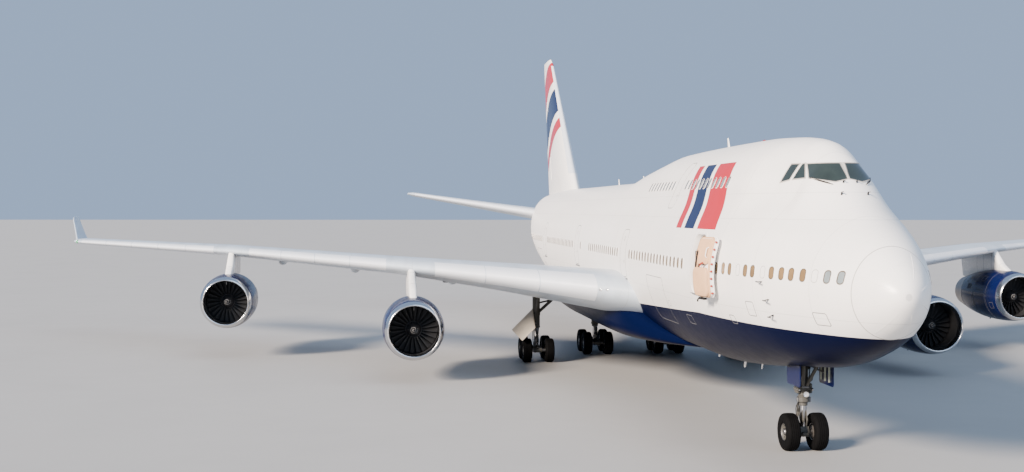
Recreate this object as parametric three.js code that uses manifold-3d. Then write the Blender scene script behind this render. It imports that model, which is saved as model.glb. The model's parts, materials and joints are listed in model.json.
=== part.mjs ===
// Four-engine wide body airliner with a raised forward upper deck, parked on its gear, as a half-size model.
// Sizes are in metres of the full-size aircraft, and toModel() turns them into the model's millimetres.
// x is 0 on the centre line and grows to port, s runs aft from the nose tip, z is up from the ground.
import * as THREE from "three";
import { mergeVertices } from "three/addons/utils/BufferGeometryUtils.js";
import Module from "manifold-3d";

const MODEL_SCALE = 1 / 2;
const MM = 1000 * MODEL_SCALE;
const LENGTH = 70.66;
const PORT = 1;
const STARBOARD = -1;
const SEAM = 0.0008;
const MERGE_MM = 0.001;

const wasm = await Module();
wasm.setup();

// Materials
const paint = (color, roughness, metalness) => (
  new THREE.MeshStandardMaterial({ color, roughness, metalness })
);
const white = paint(0xeeece8, 0.3, 0.0);
const grey = paint(0xb9bdc2, 0.4, 0.1);
const navy = paint(0x16203f, 0.3, 0.0);
const titanium = paint(0x4a4d52, 0.4, 0.8);
const steel = paint(0xd9dadb, 0.4, 0.3);
const rubber = paint(0x1b1b1c, 0.8, 0.0);
const lining = paint(0xd9b795, 0.7, 0.0);

// Basic shapes
const toModel = ([x, s, z]) => new THREE.Vector3(x * MM, (s - LENGTH / 2) * MM, z * MM);

function closedMesh(points, faces) {
  const geometry = new THREE.BufferGeometry();
  const flat = points.flatMap((point) => toModel(point).toArray());
  geometry.setAttribute("position", new THREE.Float32BufferAttribute(flat, 3));
  geometry.setIndex(faces.flat());
  return faceOutward(geometry);
}

function faceOutward(geometry) {
  geometry.deleteAttribute("normal");
  geometry.deleteAttribute("uv");
  const merged = mergeVertices(geometry, MERGE_MM);
  const at = merged.getAttribute("position");
  const index = merged.getIndex().array;
  const corner = [new THREE.Vector3(), new THREE.Vector3(), new THREE.Vector3()];
  const kept = [];
  let volume = 0;
  for (let i = 0; i < index.length; i += 3) {
    const [a, b, c] = [index[i], index[i + 1], index[i + 2]];
    if (a === b || b === c || c === a) continue;
    corner.forEach((v, k) => v.fromBufferAttribute(at, [a, b, c][k]));
    volume += corner[0].dot(corner[1].cross(corner[2]));
    kept.push(a, b, c);
  }
  if (volume < 0) kept.reverse();
  merged.setIndex(kept);
  return merged;
}

// A skin through rings that all have the same number of points, closed at both ends
function loft(rings) {
  const count = rings[0].length;
  const points = rings.flat();
  const faces = [];
  for (let r = 0; r + 1 < rings.length; r += 1) {
    for (let k = 0; k < count; k += 1) {
      const a = r * count + k;
      const b = r * count + ((k + 1) % count);
      faces.push([a, b, b + count], [a, b + count, a + count]);
    }
  }
  [0, rings.length - 1].forEach((r) => {
    const start = r * count;
    if (count === 4) {
      const halves = [[start, start + 1, start + 2], [start, start + 2, start + 3]];
      faces.push(...(r === 0 ? halves.map((half) => half.reverse()) : halves));
      return;
    }
    const middle = [0, 1, 2].map((i) => rings[r].reduce((sum, point) => sum + point[i], 0) / count);
    const hub = points.push(middle) - 1;
    for (let k = 0; k < count; k += 1) {
      const a = start + k;
      const b = start + ((k + 1) % count);
      faces.push(r === 0 ? [b, a, hub] : [a, b, hub]);
    }
  });
  return closedMesh(points, faces);
}

// A body turned about a line through centre: profile holds [distance along the line, radius]
function turned(profile, centre, axis, sides, flatDown = false) {
  const along = new THREE.Vector3(...axis).normalize();
  const across = Math.abs(along.z) < 0.9 ? new THREE.Vector3(0, 0, 1) : new THREE.Vector3(0, 1, 0);
  const first = across.clone().addScaledVector(along, -across.dot(along)).normalize();
  const second = new THREE.Vector3().crossVectors(along, first);
  const start = flatDown ? Math.PI / sides : 0;
  const rings = profile.map(([distance, radius]) => {
    const ring = [];
    for (let k = 0; k < sides; k += 1) {
      const angle = start + (2 * Math.PI * k) / sides;
      const out = first.clone().multiplyScalar(Math.cos(angle) * radius);
      out.addScaledVector(second, Math.sin(angle) * radius).addScaledVector(along, distance);
      ring.push([centre[0] + out.x, centre[1] + out.y, centre[2] + out.z]);
    }
    return ring;
  });
  return loft(rings);
}

const SLIM_SIDES = 8;
const ROUND_SIDES = 12;

function rod(from, to, radius, sides = SLIM_SIDES) {
  const run = to.map((value, i) => value - from[i]);
  return turned([[0, radius], [Math.hypot(...run), radius]], from, run, sides);
}

// A box given by its low and high corners
function box(low, high) {
  const corners = [[low[0], low[1]], [high[0], low[1]], [high[0], high[1]], [low[0], high[1]]];
  const ring = (z) => corners.map((corner) => [...corner, z]);
  return loft([ring(low[2]), ring(high[2])]);
}

// A plate whose outline lies in the s-z plane, as thick as its width along x
function plate(outline, x, width) {
  return loft([x - width / 2, x + width / 2].map((side) => outline.map(([s, z]) => [side, s, z])));
}

// Joining and cutting
function solid(geometry) {
  const position = geometry.getAttribute("position");
  const mesh = new wasm.Mesh({
    numProp: 3,
    vertProperties: new Float32Array(position.array),
    triVerts: new Uint32Array(geometry.getIndex().array),
  });
  return new wasm.Manifold(mesh);
}

const join = (...geometries) => geometries.map(solid).reduce((whole, piece) => whole.add(piece));
const cut = (body, ...tools) => tools.reduce((left, tool) => left.subtract(solid(tool)), body);

function geometryOf(body) {
  const mesh = body.getMesh();
  const geometry = new THREE.BufferGeometry();
  geometry.setAttribute("position", new THREE.Float32BufferAttribute(mesh.vertProperties, 3));
  geometry.setIndex(new THREE.Uint32BufferAttribute(mesh.triVerts, 1));
  return mergeVertices(geometry, MERGE_MM);
}

const airliner = new THREE.Group();

function addPiece(name, shape, material) {
  const geometry = shape.isBufferGeometry ? shape : geometryOf(shape);
  geometry.computeVertexNormals();
  const mesh = new THREE.Mesh(geometry, material);
  mesh.name = name;
  airliner.add(mesh);
}

// Fuselage sections: a round main lobe with a smaller oval lobe on it for the upper deck
const FUSELAGE_COLUMNS = ["s", "halfWidth", "centre", "below", "above", "humpTop", "humpWide", "humpTall"];
const FUSELAGE = [
  [0.00, 0.02, 5.45, 0.02, 0.02, 5.45, 0.01, 0.01],
  [0.15, 0.38, 5.45, 0.41, 0.41, 5.50, 0.20, 0.20],
  [0.50, 0.72, 5.46, 0.80, 0.80, 6.00, 0.40, 0.45],
  [1.12, 1.10, 5.48, 1.23, 1.24, 6.50, 0.64, 0.80],
  [2.20, 1.61, 5.51, 1.76, 1.78, 7.18, 0.98, 1.27],
  [3.30, 2.02, 5.54, 2.14, 2.18, 7.88, 1.19, 1.73],
  [4.10, 2.28, 5.56, 2.38, 2.42, 8.56, 1.37, 2.20],
  [4.65, 2.44, 5.57, 2.50, 2.55, 9.07, 1.44, 2.50],
  [5.10, 2.56, 5.58, 2.58, 2.66, 9.42, 1.36, 2.70],
  [6.00, 2.76, 5.60, 2.70, 2.85, 9.80, 1.49, 2.62],
  [8.00, 3.04, 5.63, 2.97, 3.07, 10.00, 2.05, 2.30],
  [10.50, 3.20, 5.65, 3.26, 3.20, 10.07, 2.17, 2.17],
  [13.50, 3.25, 5.65, 3.45, 3.25, 10.07, 2.20, 2.20],
  [20.00, 3.25, 5.65, 3.47, 3.25, 10.01, 2.20, 2.20],
  [22.00, 3.25, 5.65, 3.47, 3.25, 9.86, 2.18, 2.18],
  [24.00, 3.25, 5.65, 3.47, 3.25, 9.68, 2.14, 2.14],
  [26.00, 3.25, 5.65, 3.47, 3.27, 9.47, 2.08, 2.08],
  [28.00, 3.25, 5.65, 3.47, 3.31, 9.12, 2.00, 2.00],
  [30.00, 3.25, 5.65, 3.47, 3.35, 8.74, 1.92, 1.92],
  [32.00, 3.25, 5.65, 3.47, 3.37, 8.35, 1.86, 1.86],
  [34.00, 3.25, 5.65, 3.47, 3.38, 7.95, 1.80, 1.80],
  [36.00, 3.25, 5.65, 3.47, 3.39, 7.50, 1.80, 1.80],
  [44.00, 3.25, 5.65, 3.47, 3.39, 7.50, 1.80, 1.80],
  [48.00, 3.20, 5.72, 3.25, 3.33, 7.50, 1.70, 1.70],
  [52.00, 3.04, 5.95, 2.85, 3.11, 7.50, 1.50, 1.50],
  [56.00, 2.73, 6.30, 2.40, 2.72, 7.40, 1.20, 1.20],
  [60.00, 2.20, 6.75, 1.90, 2.15, 7.40, 1.00, 1.00],
  [64.00, 1.48, 7.22, 1.36, 1.55, 7.60, 0.70, 0.70],
  [67.00, 0.82, 7.55, 0.84, 0.98, 7.80, 0.40, 0.40],
  [68.63, 0.42, 7.72, 0.50, 0.55, 7.90, 0.20, 0.20],
];
const FUSELAGE_SIDES = 32;
const LOBE_BLEND = 12;
const RADOME_SEAM = 1.12;

const named = (columns, values) => Object.fromEntries(columns.map((column, i) => [column, values[i]]));

function fuselageRing(values, grow) {
  const row = named(FUSELAGE_COLUMNS, values);
  const humpCentre = row.humpTop - row.centre - row.humpTall;
  const ring = [];
  for (let k = 0; k < FUSELAGE_SIDES; k += 1) {
    const angle = (2 * Math.PI * k) / FUSELAGE_SIDES;
    const [c, n] = [Math.cos(angle), Math.sin(angle)];
    const main = 1 / Math.hypot(c / row.halfWidth, n / (n >= 0 ? row.above : row.below));
    const square = (c / row.humpWide) ** 2 + (n / row.humpTall) ** 2;
    const along = (humpCentre * n) / row.humpTall ** 2;
    const root = along ** 2 - square * ((humpCentre / row.humpTall) ** 2 - 1);
    const hump = n > 0 && root > 0 ? Math.max((along + Math.sqrt(root)) / square, 0) : 0;
    const radius = (main ** LOBE_BLEND + hump ** LOBE_BLEND) ** (1 / LOBE_BLEND) + grow;
    ring.push([radius * c, row.s, row.centre + radius * n]);
  }
  return ring;
}

const fuselageBody = (grow = 0, rows = FUSELAGE) => loft(rows.map((row) => fuselageRing(row, grow)));
const seamRow = FUSELAGE.findIndex(([s]) => s === RADOME_SEAM);
const radomeRows = FUSELAGE.slice(0, seamRow + 1);
const hullRows = FUSELAGE.slice(seamRow).map((row, i) => (i === 0 ? [row[0] + SEAM, ...row.slice(1)] : row));

// Forward starboard doorway, and the door that stands open ahead of it and leans off the skin
const DOORWAY = { front: 8.86, back: 9.96, sill: 4.92, head: 6.90, depth: 1.7, corner: 0.25 };
const DOOR = {
  front: 7.26,
  back: 8.32,
  sill: 4.94,
  head: 6.78,
  thick: 0.2,
  standOff: 0.13,
  edge: -3.07,
  leanDegrees: 6,
  armHeight: 6.0,
  armRadius: 0.05,
};

// Nose gear bay and body gear bays: halves of the width, stations and roof height
const NOSE_BAY = { x: 0.50, front: 6.50, back: 8.30, roof: 3.90 };
const BODY_BAY = { inner: 1.30, outer: 2.60, front: 33.70, back: 36.20, roof: 3.10 };

function roundedOpening(front, back, low, high, corner) {
  const shape = [];
  const centres = [[back, high, 0], [front, high, 1], [front, low, 2], [back, low, 3]];
  centres.forEach(([s, z, quarter]) => {
    const cs = s + (s === back ? -corner : corner);
    const cz = z + (z === high ? -corner : corner);
    for (let k = 0; k <= 3; k += 1) {
      const angle = (quarter + k / 3) * (Math.PI / 2);
      shape.push([cs + corner * Math.cos(angle), cz + corner * Math.sin(angle)]);
    }
  });
  return shape;
}

const outlineOf = (hole) => roundedOpening(hole.front, hole.back, hole.sill, hole.head, DOORWAY.corner);
const doorwaySkin = -3.2;
const doorwayTool = plate(outlineOf(DOORWAY), doorwaySkin - 0.5 + DOORWAY.depth / 2, DOORWAY.depth + 1.0);
const noseBayTool = box([-NOSE_BAY.x, NOSE_BAY.front, 1.0], [NOSE_BAY.x, NOSE_BAY.back, NOSE_BAY.roof]);
const bodyBayTool = (side) => {
  const xs = [side * BODY_BAY.inner, side * BODY_BAY.outer].sort((a, b) => a - b);
  return box([xs[0], BODY_BAY.front, 1.0], [xs[1], BODY_BAY.back, BODY_BAY.roof]);
};

// Round flat pads for jacks
const JACK_PAD = {
  radius: 0.14,
  noseStation: 9.4,
  noseTop: 3.0,
  noseFace: 2.46,
  wingSpan: 10.2,
  wingShare: 0.42,
  wingDrop: 0.62,
};
const noseJackPad = rod(
  [0, JACK_PAD.noseStation, JACK_PAD.noseTop],
  [0, JACK_PAD.noseStation, JACK_PAD.noseFace],
  JACK_PAD.radius,
  ROUND_SIDES,
);

addPiece("nose_radome", fuselageBody(0, radomeRows), white);
addPiece("fuselage", cut(
  join(fuselageBody(0, hullRows), noseJackPad),
  doorwayTool,
  noseBayTool,
  bodyBayTool(PORT),
  bodyBayTool(STARBOARD),
), white);

// The door slab keeps the skin's curve on the side that now faces the fuselage
function openDoor() {
  const pivot = toModel([DOOR.edge, DOOR.front, 0]);
  const near = solid(fuselageBody(DOOR.standOff));
  const far = solid(fuselageBody(DOOR.standOff + DOOR.thick));
  const slab = solid(plate(outlineOf(DOOR), doorwaySkin, 1.3)).intersect(far).subtract(near)
    .translate([-pivot.x, -pivot.y, 0])
    .rotate([0, 0, DOOR.leanDegrees])
    .translate([pivot.x, pivot.y, 0]);
  const arm = solid(rod(
    [-3.0, DOORWAY.front - 0.02, DOOR.armHeight],
    [-3.4, DOOR.back - 0.07, DOOR.armHeight],
    DOOR.armRadius,
  ));
  return slab.add(arm.subtract(solid(fuselageBody(SEAM))));
}
addPiece("forward_door_starboard", openDoor(), lining);

// Wing-to-body fairing under the belly
const FAIRING_COLUMNS = ["s", "halfWidth", "bottom", "top"];
const FAIRING = [
  [17.60, 0.70, 2.17, 2.40],
  [19.00, 1.90, 2.12, 2.90],
  [20.60, 2.80, 2.05, 3.60],
  [22.20, 3.28, 1.98, 4.20],
  [24.00, 3.50, 1.94, 4.55],
  [28.00, 3.56, 1.92, 4.60],
  [34.00, 3.56, 1.92, 4.50],
  [38.00, 3.44, 1.98, 4.20],
  [41.50, 2.80, 2.08, 3.40],
  [43.60, 1.10, 2.16, 2.60],
];
const FAIRING_SIDES = 24;
const FAIRING_SQUARENESS = 0.62;

function fairingBody(grow = 0) {
  return loft(FAIRING.map((values) => {
    const row = named(FAIRING_COLUMNS, values);
    const middle = (row.top + row.bottom) / 2;
    const ring = [];
    for (let k = 0; k < FAIRING_SIDES; k += 1) {
      const angle = (2 * Math.PI * k) / FAIRING_SIDES;
      const squared = (value) => Math.sign(value) * Math.abs(value) ** FAIRING_SQUARENESS;
      const x = (row.halfWidth + grow) * squared(Math.cos(angle));
      ring.push([x, row.s, middle + ((row.top - row.bottom) / 2 + grow) * squared(Math.sin(angle))]);
    }
    return ring;
  }));
}

addPiece("wing_body_fairing", cut(
  solid(fairingBody()), fuselageBody(SEAM), bodyBayTool(PORT), bodyBayTool(STARBOARD),
), grey);

// Lifting surfaces: each row is one section, from root to tip
const SECTION_COLUMNS = ["span", "lead", "trail", "height", "incidence", "thickness"];
const WING = [
  [2.40, 19.15, 34.07, 4.17, 2.4, 0.134],
  [3.25, 19.90, 34.30, 4.25, 2.4, 0.130],
  [7.80, 23.93, 35.54, 4.64, 1.8, 0.112],
  [12.40, 28.00, 36.80, 4.98, 1.2, 0.098],
  [21.18, 35.77, 42.32, 5.46, 0.6, 0.090],
  [31.00, 44.46, 48.50, 5.75, -0.4, 0.080],
  [31.40, 45.10, 48.75, 5.76, -0.4, 0.050],
];
const STABILISER = [
  [0.60, 57.60, 66.20, 7.16, 0, 0.110],
  [1.80, 58.70, 66.75, 7.36, 0, 0.105],
  [10.70, 66.95, 70.40, 8.86, 0, 0.090],
  [11.08, 67.80, 70.66, 8.92, 0, 0.050],
];
// The fin's span is its height above the ground, and its height is its offset from the centre plane
const FIN = [
  [8.00, 50.90, 65.40, 0, 0, 0.060],
  [9.00, 52.60, 65.90, 0, 0, 0.075],
  [10.10, 54.10, 66.25, 0, 0, 0.092],
  [18.90, 64.60, 69.15, 0, 0, 0.090],
  [19.41, 65.60, 69.20, 0, 0, 0.050],
];
const FOIL_STATIONS = [1.0, 0.82, 0.62, 0.42, 0.24, 0.10, 0.025, 0.0];
const BLUNT_EDGE = 0.004;

// Half thickness of a four-digit symmetric section, as a share of the chord
function halfThickness(t, ratio) {
  const series = 0.2969 * Math.sqrt(t) - 0.126 * t - 0.3516 * t ** 2 + 0.2843 * t ** 3 - 0.1015 * t ** 4;
  return 5 * ratio * series + BLUNT_EDGE * t;
}

function foilRing(row, place, grow) {
  const chord = row.trail - row.lead;
  const drop = Math.tan(THREE.MathUtils.degToRad(row.incidence));
  const point = (t, side) => {
    const reach = t === 0 ? -grow : t * chord + (t === 1 ? grow : 0);
    const offset = side * (halfThickness(t, row.thickness) * chord + grow);
    return place(row.span, row.lead + reach, row.height - t * chord * drop + offset);
  };
  const upper = FOIL_STATIONS.map((t) => point(t, t === 0 ? 0 : 1));
  const lower = FOIL_STATIONS.slice(0, -1).reverse().map((t) => point(t, -1));
  return [...upper, ...lower];
}

const flatPlace = (side) => (span, s, height) => [side * span, s, height];
const uprightPlace = (span, s, offset) => [offset, s, span];
const sections = (table) => table.map((values) => named(SECTION_COLUMNS, values));
const foil = (table, place, grow = 0) => loft(sections(table).map((row) => foilRing(row, place, grow)));

// The place on a surface's middle line at a span and a share of the chord
function middleOf(table, span, share) {
  const rows = sections(table);
  const high = rows.findIndex((row) => row.span >= span);
  const [a, b] = [rows[high - 1], rows[high]];
  const t = (span - a.span) / (b.span - a.span);
  const mix = (key) => THREE.MathUtils.lerp(a[key], b[key], t);
  const chord = mix("trail") - mix("lead");
  const drop = Math.tan(THREE.MathUtils.degToRad(mix("incidence")));
  return { s: mix("lead") + share * chord, height: mix("height") - share * chord * drop };
}

// How thick a surface is from its middle line to its skin, at a span and a share of the chord
function halfThicknessOn(table, span, share) {
  const rows = sections(table);
  const high = rows.findIndex((row) => row.span >= span);
  const [a, b] = [rows[high - 1], rows[high]];
  const deep = (row) => halfThickness(share, row.thickness) * (row.trail - row.lead);
  return THREE.MathUtils.lerp(deep(a), deep(b), (span - a.span) / (b.span - a.span));
}

const COVE_GAP = 0.03;
const END_GAP = 0.02;
const BEHIND = 4.0;
const OVER = 2.0;
const NOSE_STEPS = 6;

// Outlines across a hinge line, ahead of it negative: a moving surface with a round nose, and its cove
function noseOutline(deep) {
  const nose = Array.from({ length: NOSE_STEPS + 1 }, (_, k) => {
    const angle = (Math.PI * k) / NOSE_STEPS;
    return [-deep * Math.sin(angle), deep * Math.cos(angle)];
  });
  return [[BEHIND, -OVER], [BEHIND, OVER], [0, OVER], ...nose, [0, -OVER]];
}

function coveOutline(deep) {
  const front = -deep - COVE_GAP;
  return [[front, -OVER], [BEHIND, -OVER], [BEHIND, OVER], [front, OVER]];
}

// A tool laid along a hinge line, with its own outline for the thickness at each end
function hingeTool(hinge, outline, endGap) {
  const along = new THREE.Vector3(...hinge.to).sub(new THREE.Vector3(...hinge.from));
  const length = along.length();
  along.normalize();
  const aft = new THREE.Vector3().crossVectors(along, new THREE.Vector3(...hinge.up)).normalize();
  if (aft.y < 0) aft.negate();
  const normal = new THREE.Vector3().crossVectors(along, aft).normalize();
  const corner = (u, v, w) => new THREE.Vector3(...hinge.from)
    .addScaledVector(along, u).addScaledVector(aft, v).addScaledVector(normal, w).toArray();
  const ring = (u, deep) => outline(deep).map(([v, w]) => corner(u, v, w));
  return loft([ring(-endGap, hinge.deep[0]), ring(length + endGap, hinge.deep[1])]);
}

// Takes a moving surface out of a body's trailing edge and leaves a cove with room for it to turn
function splitOff(body, hinge) {
  const piece = solid(hingeTool(hinge, noseOutline, 0));
  const cove = solid(hingeTool(hinge, coveOutline, END_GAP));
  return { rest: body.subtract(cove), surface: body.intersect(piece) };
}

function hingeOn(table, place, up, inner, outer, share) {
  const at = (span) => {
    const spot = middleOf(table, span, share);
    return place(span, spot.s, spot.height);
  };
  const deep = [inner, outer].map((span) => halfThicknessOn(table, span, share));
  return { from: at(inner), to: at(outer), up, deep };
}

// Wings with their flap track fairings, ailerons and winglets
const AILERONS = [["inboard", 12.55, 14.00, 0.80], ["outboard", 22.80, 29.70, 0.78]];
const TRACK_FAIRINGS = [[6.10, 0.30, 5.6], [9.70, 0.29, 5.2], [14.70, 0.26, 4.6], [18.70, 0.24, 4.2]];
const UP = [0, 0, 1];

function trackFairing(side, [span, radius, length]) {
  const spot = middleOf(WING, span, 1);
  const start = [side * span, spot.s + 1.1 - length, spot.height - 0.42];
  const profile = [[0, 0.1], [0.15, 0.7], [0.45, 1.0], [1, 0.06]];
  return turned(profile.map(([t, r]) => [t * length, r * radius]), start, [0, 1, 0.03], 8);
}

function wingJackPad(side) {
  const spot = middleOf(WING, JACK_PAD.wingSpan, JACK_PAD.wingShare);
  const top = [side * JACK_PAD.wingSpan, spot.s, spot.height - 0.2];
  return rod(top, [top[0], top[1], spot.height - JACK_PAD.wingDrop], JACK_PAD.radius, ROUND_SIDES);
}

// The winglet's sections stand on the wing tip and lean out
const WINGLET_COLUMNS = ["span", "lead", "trail", "height", "thickness"];
const WINGLET = [
  [31.42, 45.95, 48.75, 5.78, 0.09],
  [31.62, 46.60, 48.95, 6.10, 0.09],
  [32.17, 48.10, 49.55, 7.20, 0.09],
];

function winglet(side) {
  return loft(WINGLET.map((values) => {
    const row = { ...named(WINGLET_COLUMNS, values), incidence: 0 };
    const place = (height, s, offset) => [side * (row.span + offset), s, height];
    return foilRing({ ...row, span: row.height, height: 0 }, place, 0);
  }));
}

const wingTool = Object.fromEntries(
  [PORT, STARBOARD].map((side) => [side, foil(WING, flatPlace(side), SEAM)]),
);
const ENGINES = [
  { name: "1", side: PORT, x: 21.18, lip: 33.10, z: 2.95 },
  { name: "2", side: PORT, x: 11.94, lip: 23.39, z: 2.37 },
  { name: "3", side: STARBOARD, x: 11.94, lip: 23.39, z: 2.37 },
  { name: "4", side: STARBOARD, x: 21.18, lip: 33.10, z: 2.95 },
];
const sides = [[PORT, "port"], [STARBOARD, "starboard"]];

sides.forEach(([side, word]) => {
  const tracks = TRACK_FAIRINGS.map((track) => trackFairing(side, track));
  const whole = join(foil(WING, flatPlace(side)), ...tracks, wingJackPad(side));
  let wing = cut(whole, fuselageBody(SEAM), fairingBody(SEAM));
  AILERONS.forEach(([place, inner, outer, share]) => {
    const halves = splitOff(wing, hingeOn(WING, flatPlace(side), UP, inner, outer, share));
    wing = halves.rest;
    addPiece(`aileron_${place}_${word}`, halves.surface, white);
  });
  const tip = solid(winglet(side));
  addPiece(`winglet_${word}`, tip.subtract(solid(wingTool[side])), white);
  addPiece(`wing_${word}`, wing, white);
});

// Tail: stabilisers with elevators, and the fin with its two rudders
const ELEVATORS = [["inboard", 2.30, 5.90, 0.70], ["outboard", 5.98, 10.40, 0.70]];
const RUDDERS = [["lower", 9.85, 13.60, 0.70], ["upper", 13.68, 18.70, 0.70]];

sides.forEach(([side, word]) => {
  let tail = cut(solid(foil(STABILISER, flatPlace(side))), fuselageBody(SEAM));
  ELEVATORS.forEach(([place, inner, outer, share]) => {
    const halves = splitOff(tail, hingeOn(STABILISER, flatPlace(side), UP, inner, outer, share));
    tail = halves.rest;
    addPiece(`elevator_${place}_${word}`, halves.surface, white);
  });
  addPiece(`stabiliser_${word}`, tail, white);
});

let fin = cut(solid(foil(FIN, uprightPlace)), fuselageBody(SEAM));
RUDDERS.forEach(([place, inner, outer, share]) => {
  const halves = splitOff(fin, hingeOn(FIN, uprightPlace, [1, 0, 0], inner, outer, share));
  fin = halves.rest;
  addPiece(`rudder_${place}`, halves.surface, white);
});
addPiece("fin", fin, white);

// Engines: a cowl with a through duct, the fan in it, the core behind the fan and the pylon above
const COWL_OUTSIDE = [
  [0.0, 1.13], [0.03, 1.18], [0.25, 1.28], [1.2, 1.38], [2.6, 1.38], [4.4, 1.18], [5.9, 0.86],
];
const COWL_INSIDE = [[5.9, 0.82], [4.3, 1.06], [2.4, 1.12], [1.0, 1.10], [0.35, 1.05], [0.08, 1.08]];
const COWL_SIDES = 20;
const CORE = [[1.75, 1.09], [1.95, 1.09], [2.1, 0.78], [3.6, 0.68], [4.6, 0.42], [5.6, 0.05]];
const CORE_SIDES = 16;
const FAN = {
  station: 1.25,
  radius: 1.075,
  hub: 0.36,
  hubSides: 12,
  blades: 24,
  width: 0.26,
  thick: 0.03,
  spinner: 0.62,
  rootTwist: 0.15,
  tipTwist: 1.1,
};
const AFT = [0, 1, 0];

function ringAround(profile, centre) {
  const rings = profile.length;
  const points = [];
  const faces = [];
  profile.forEach(([distance, radius]) => {
    for (let k = 0; k < COWL_SIDES; k += 1) {
      const angle = (2 * Math.PI * k) / COWL_SIDES;
      const [x, z] = [radius * Math.cos(angle), radius * Math.sin(angle)];
      points.push([centre[0] + x, centre[1] + distance, centre[2] + z]);
    }
  });
  for (let r = 0; r < rings; r += 1) {
    for (let k = 0; k < COWL_SIDES; k += 1) {
      const next = (k + 1) % COWL_SIDES;
      const above = (r + 1) % rings;
      const [a, b] = [r * COWL_SIDES + k, r * COWL_SIDES + next];
      const [c, d] = [above * COWL_SIDES + next, above * COWL_SIDES + k];
      faces.push([a, b, c], [a, c, d]);
    }
  }
  return closedMesh(points, faces);
}

function fanBlade(centre, angle) {
  const across = (radius, twist) => {
    const [half, deep] = [FAN.width / 2, FAN.thick / 2];
    const [c, n] = [Math.cos(twist), Math.sin(twist)];
    return [[-half, -deep], [half, -deep], [half, deep], [-half, deep]].map(([u, v]) => {
      const [along, around] = [u * c - v * n, u * n + v * c];
      const x = radius * Math.cos(angle) - around * Math.sin(angle);
      const z = radius * Math.sin(angle) + around * Math.cos(angle);
      return [centre[0] + x, centre[1] + along, centre[2] + z];
    });
  };
  const points = [...across(FAN.hub - 0.03, FAN.rootTwist), ...across(FAN.radius - 0.02, FAN.tipTwist)];
  // Both broad faces are split along the same diagonal, so the twisted blade keeps its thickness
  return closedMesh(points, [
    [0, 1, 5], [0, 5, 4], [1, 2, 6], [1, 6, 5], [2, 3, 6], [3, 7, 6],
    [3, 0, 4], [3, 4, 7], [1, 0, 3], [1, 3, 2], [4, 5, 6], [4, 6, 7],
  ]);
}

function fan(centre) {
  const step = (2 * Math.PI) / FAN.blades;
  const blades = Array.from({ length: FAN.blades }, (_, k) => fanBlade(centre, k * step));
  const profile = [[-FAN.spinner, 0.02], [-FAN.spinner + 0.12, 0.14], [-0.16, FAN.hub], [0.2, FAN.hub]];
  const hub = turned(profile, centre, AFT, FAN.hubSides);
  return join(hub, ...blades);
}

// A share of the pylon's outline is tied to the cowl, the rest to the wing above it
function pylonOutline(engine) {
  const wing = (share) => {
    const spot = middleOf(WING, engine.x, share);
    return [spot.s, spot.height];
  };
  const cowl = (distance, radius) => [engine.lip + distance, engine.z + radius];
  const front = [cowl(0.9, 1.2), cowl(2.0, 1.75)];
  const back = [cowl(6.6, 0.8), cowl(5.2, 0.9)];
  return [...front, wing(0.03), wing(0.5), wing(0.66), ...back];
}

ENGINES.forEach((engine) => {
  const x = engine.side * engine.x;
  const origin = [x, engine.lip, engine.z];
  const cowlShape = [...COWL_OUTSIDE, ...COWL_INSIDE];
  const around = (grow) => COWL_OUTSIDE.map(([distance, radius]) => [distance, radius + grow]);
  addPiece(`nacelle_${engine.name}`, ringAround(cowlShape, origin), navy);
  addPiece(`engine_core_${engine.name}`, turned(CORE, origin, AFT, CORE_SIDES), titanium);
  const hubCentre = [x, engine.lip + FAN.station, engine.z];
  addPiece(`fan_${engine.name}`, fan(hubCentre), titanium);
  const strut = solid(plate(pylonOutline(engine), x, 0.42));
  const cowlTool = turned(around(SEAM), origin, AFT, COWL_SIDES);
  addPiece(`pylon_${engine.name}`, cut(strut, cowlTool, wingTool[engine.side]), white);
});

// Wheels: one pair is two tyres on one axle. Columns: across from the middle of a tyre, radius
const TYRE_RADIUS = 0.60;
const WHEEL_SIDES = 16;
const AXLE_RADIUS = 0.08;
const AXLE_ROOM = 0.012;
const WHEEL = [
  [0.20, 0.14],
  [0.16, 0.27],
  [0.23, 0.42],
  [0.14, TYRE_RADIUS],
  [-0.14, TYRE_RADIUS],
  [-0.23, 0.42],
  [-0.14, AXLE_RADIUS],
];

function wheelPair(centre, halfTrack) {
  const flatten = 1 / Math.cos(Math.PI / WHEEL_SIDES);
  const outer = WHEEL.map(([across, radius]) => [halfTrack + across, radius * flatten]);
  const inner = outer.map(([across, radius]) => [-across, radius]);
  return turned([...inner, ...[...outer].reverse()], centre, [1, 0, 0], WHEEL_SIDES, true);
}

const axleRoom = ([x, s, z], reach) => (
  rod([x - reach, s, z], [x + reach, s, z], AXLE_RADIUS + AXLE_ROOM, ROUND_SIDES)
);

// Nose gear
const NOSE = { s: 7.82, halfTrack: 0.46, collar: 1.72 };
const noseAxle = [0, NOSE.s, TYRE_RADIUS];
const fuselageTool = fuselageBody(SEAM);

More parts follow.
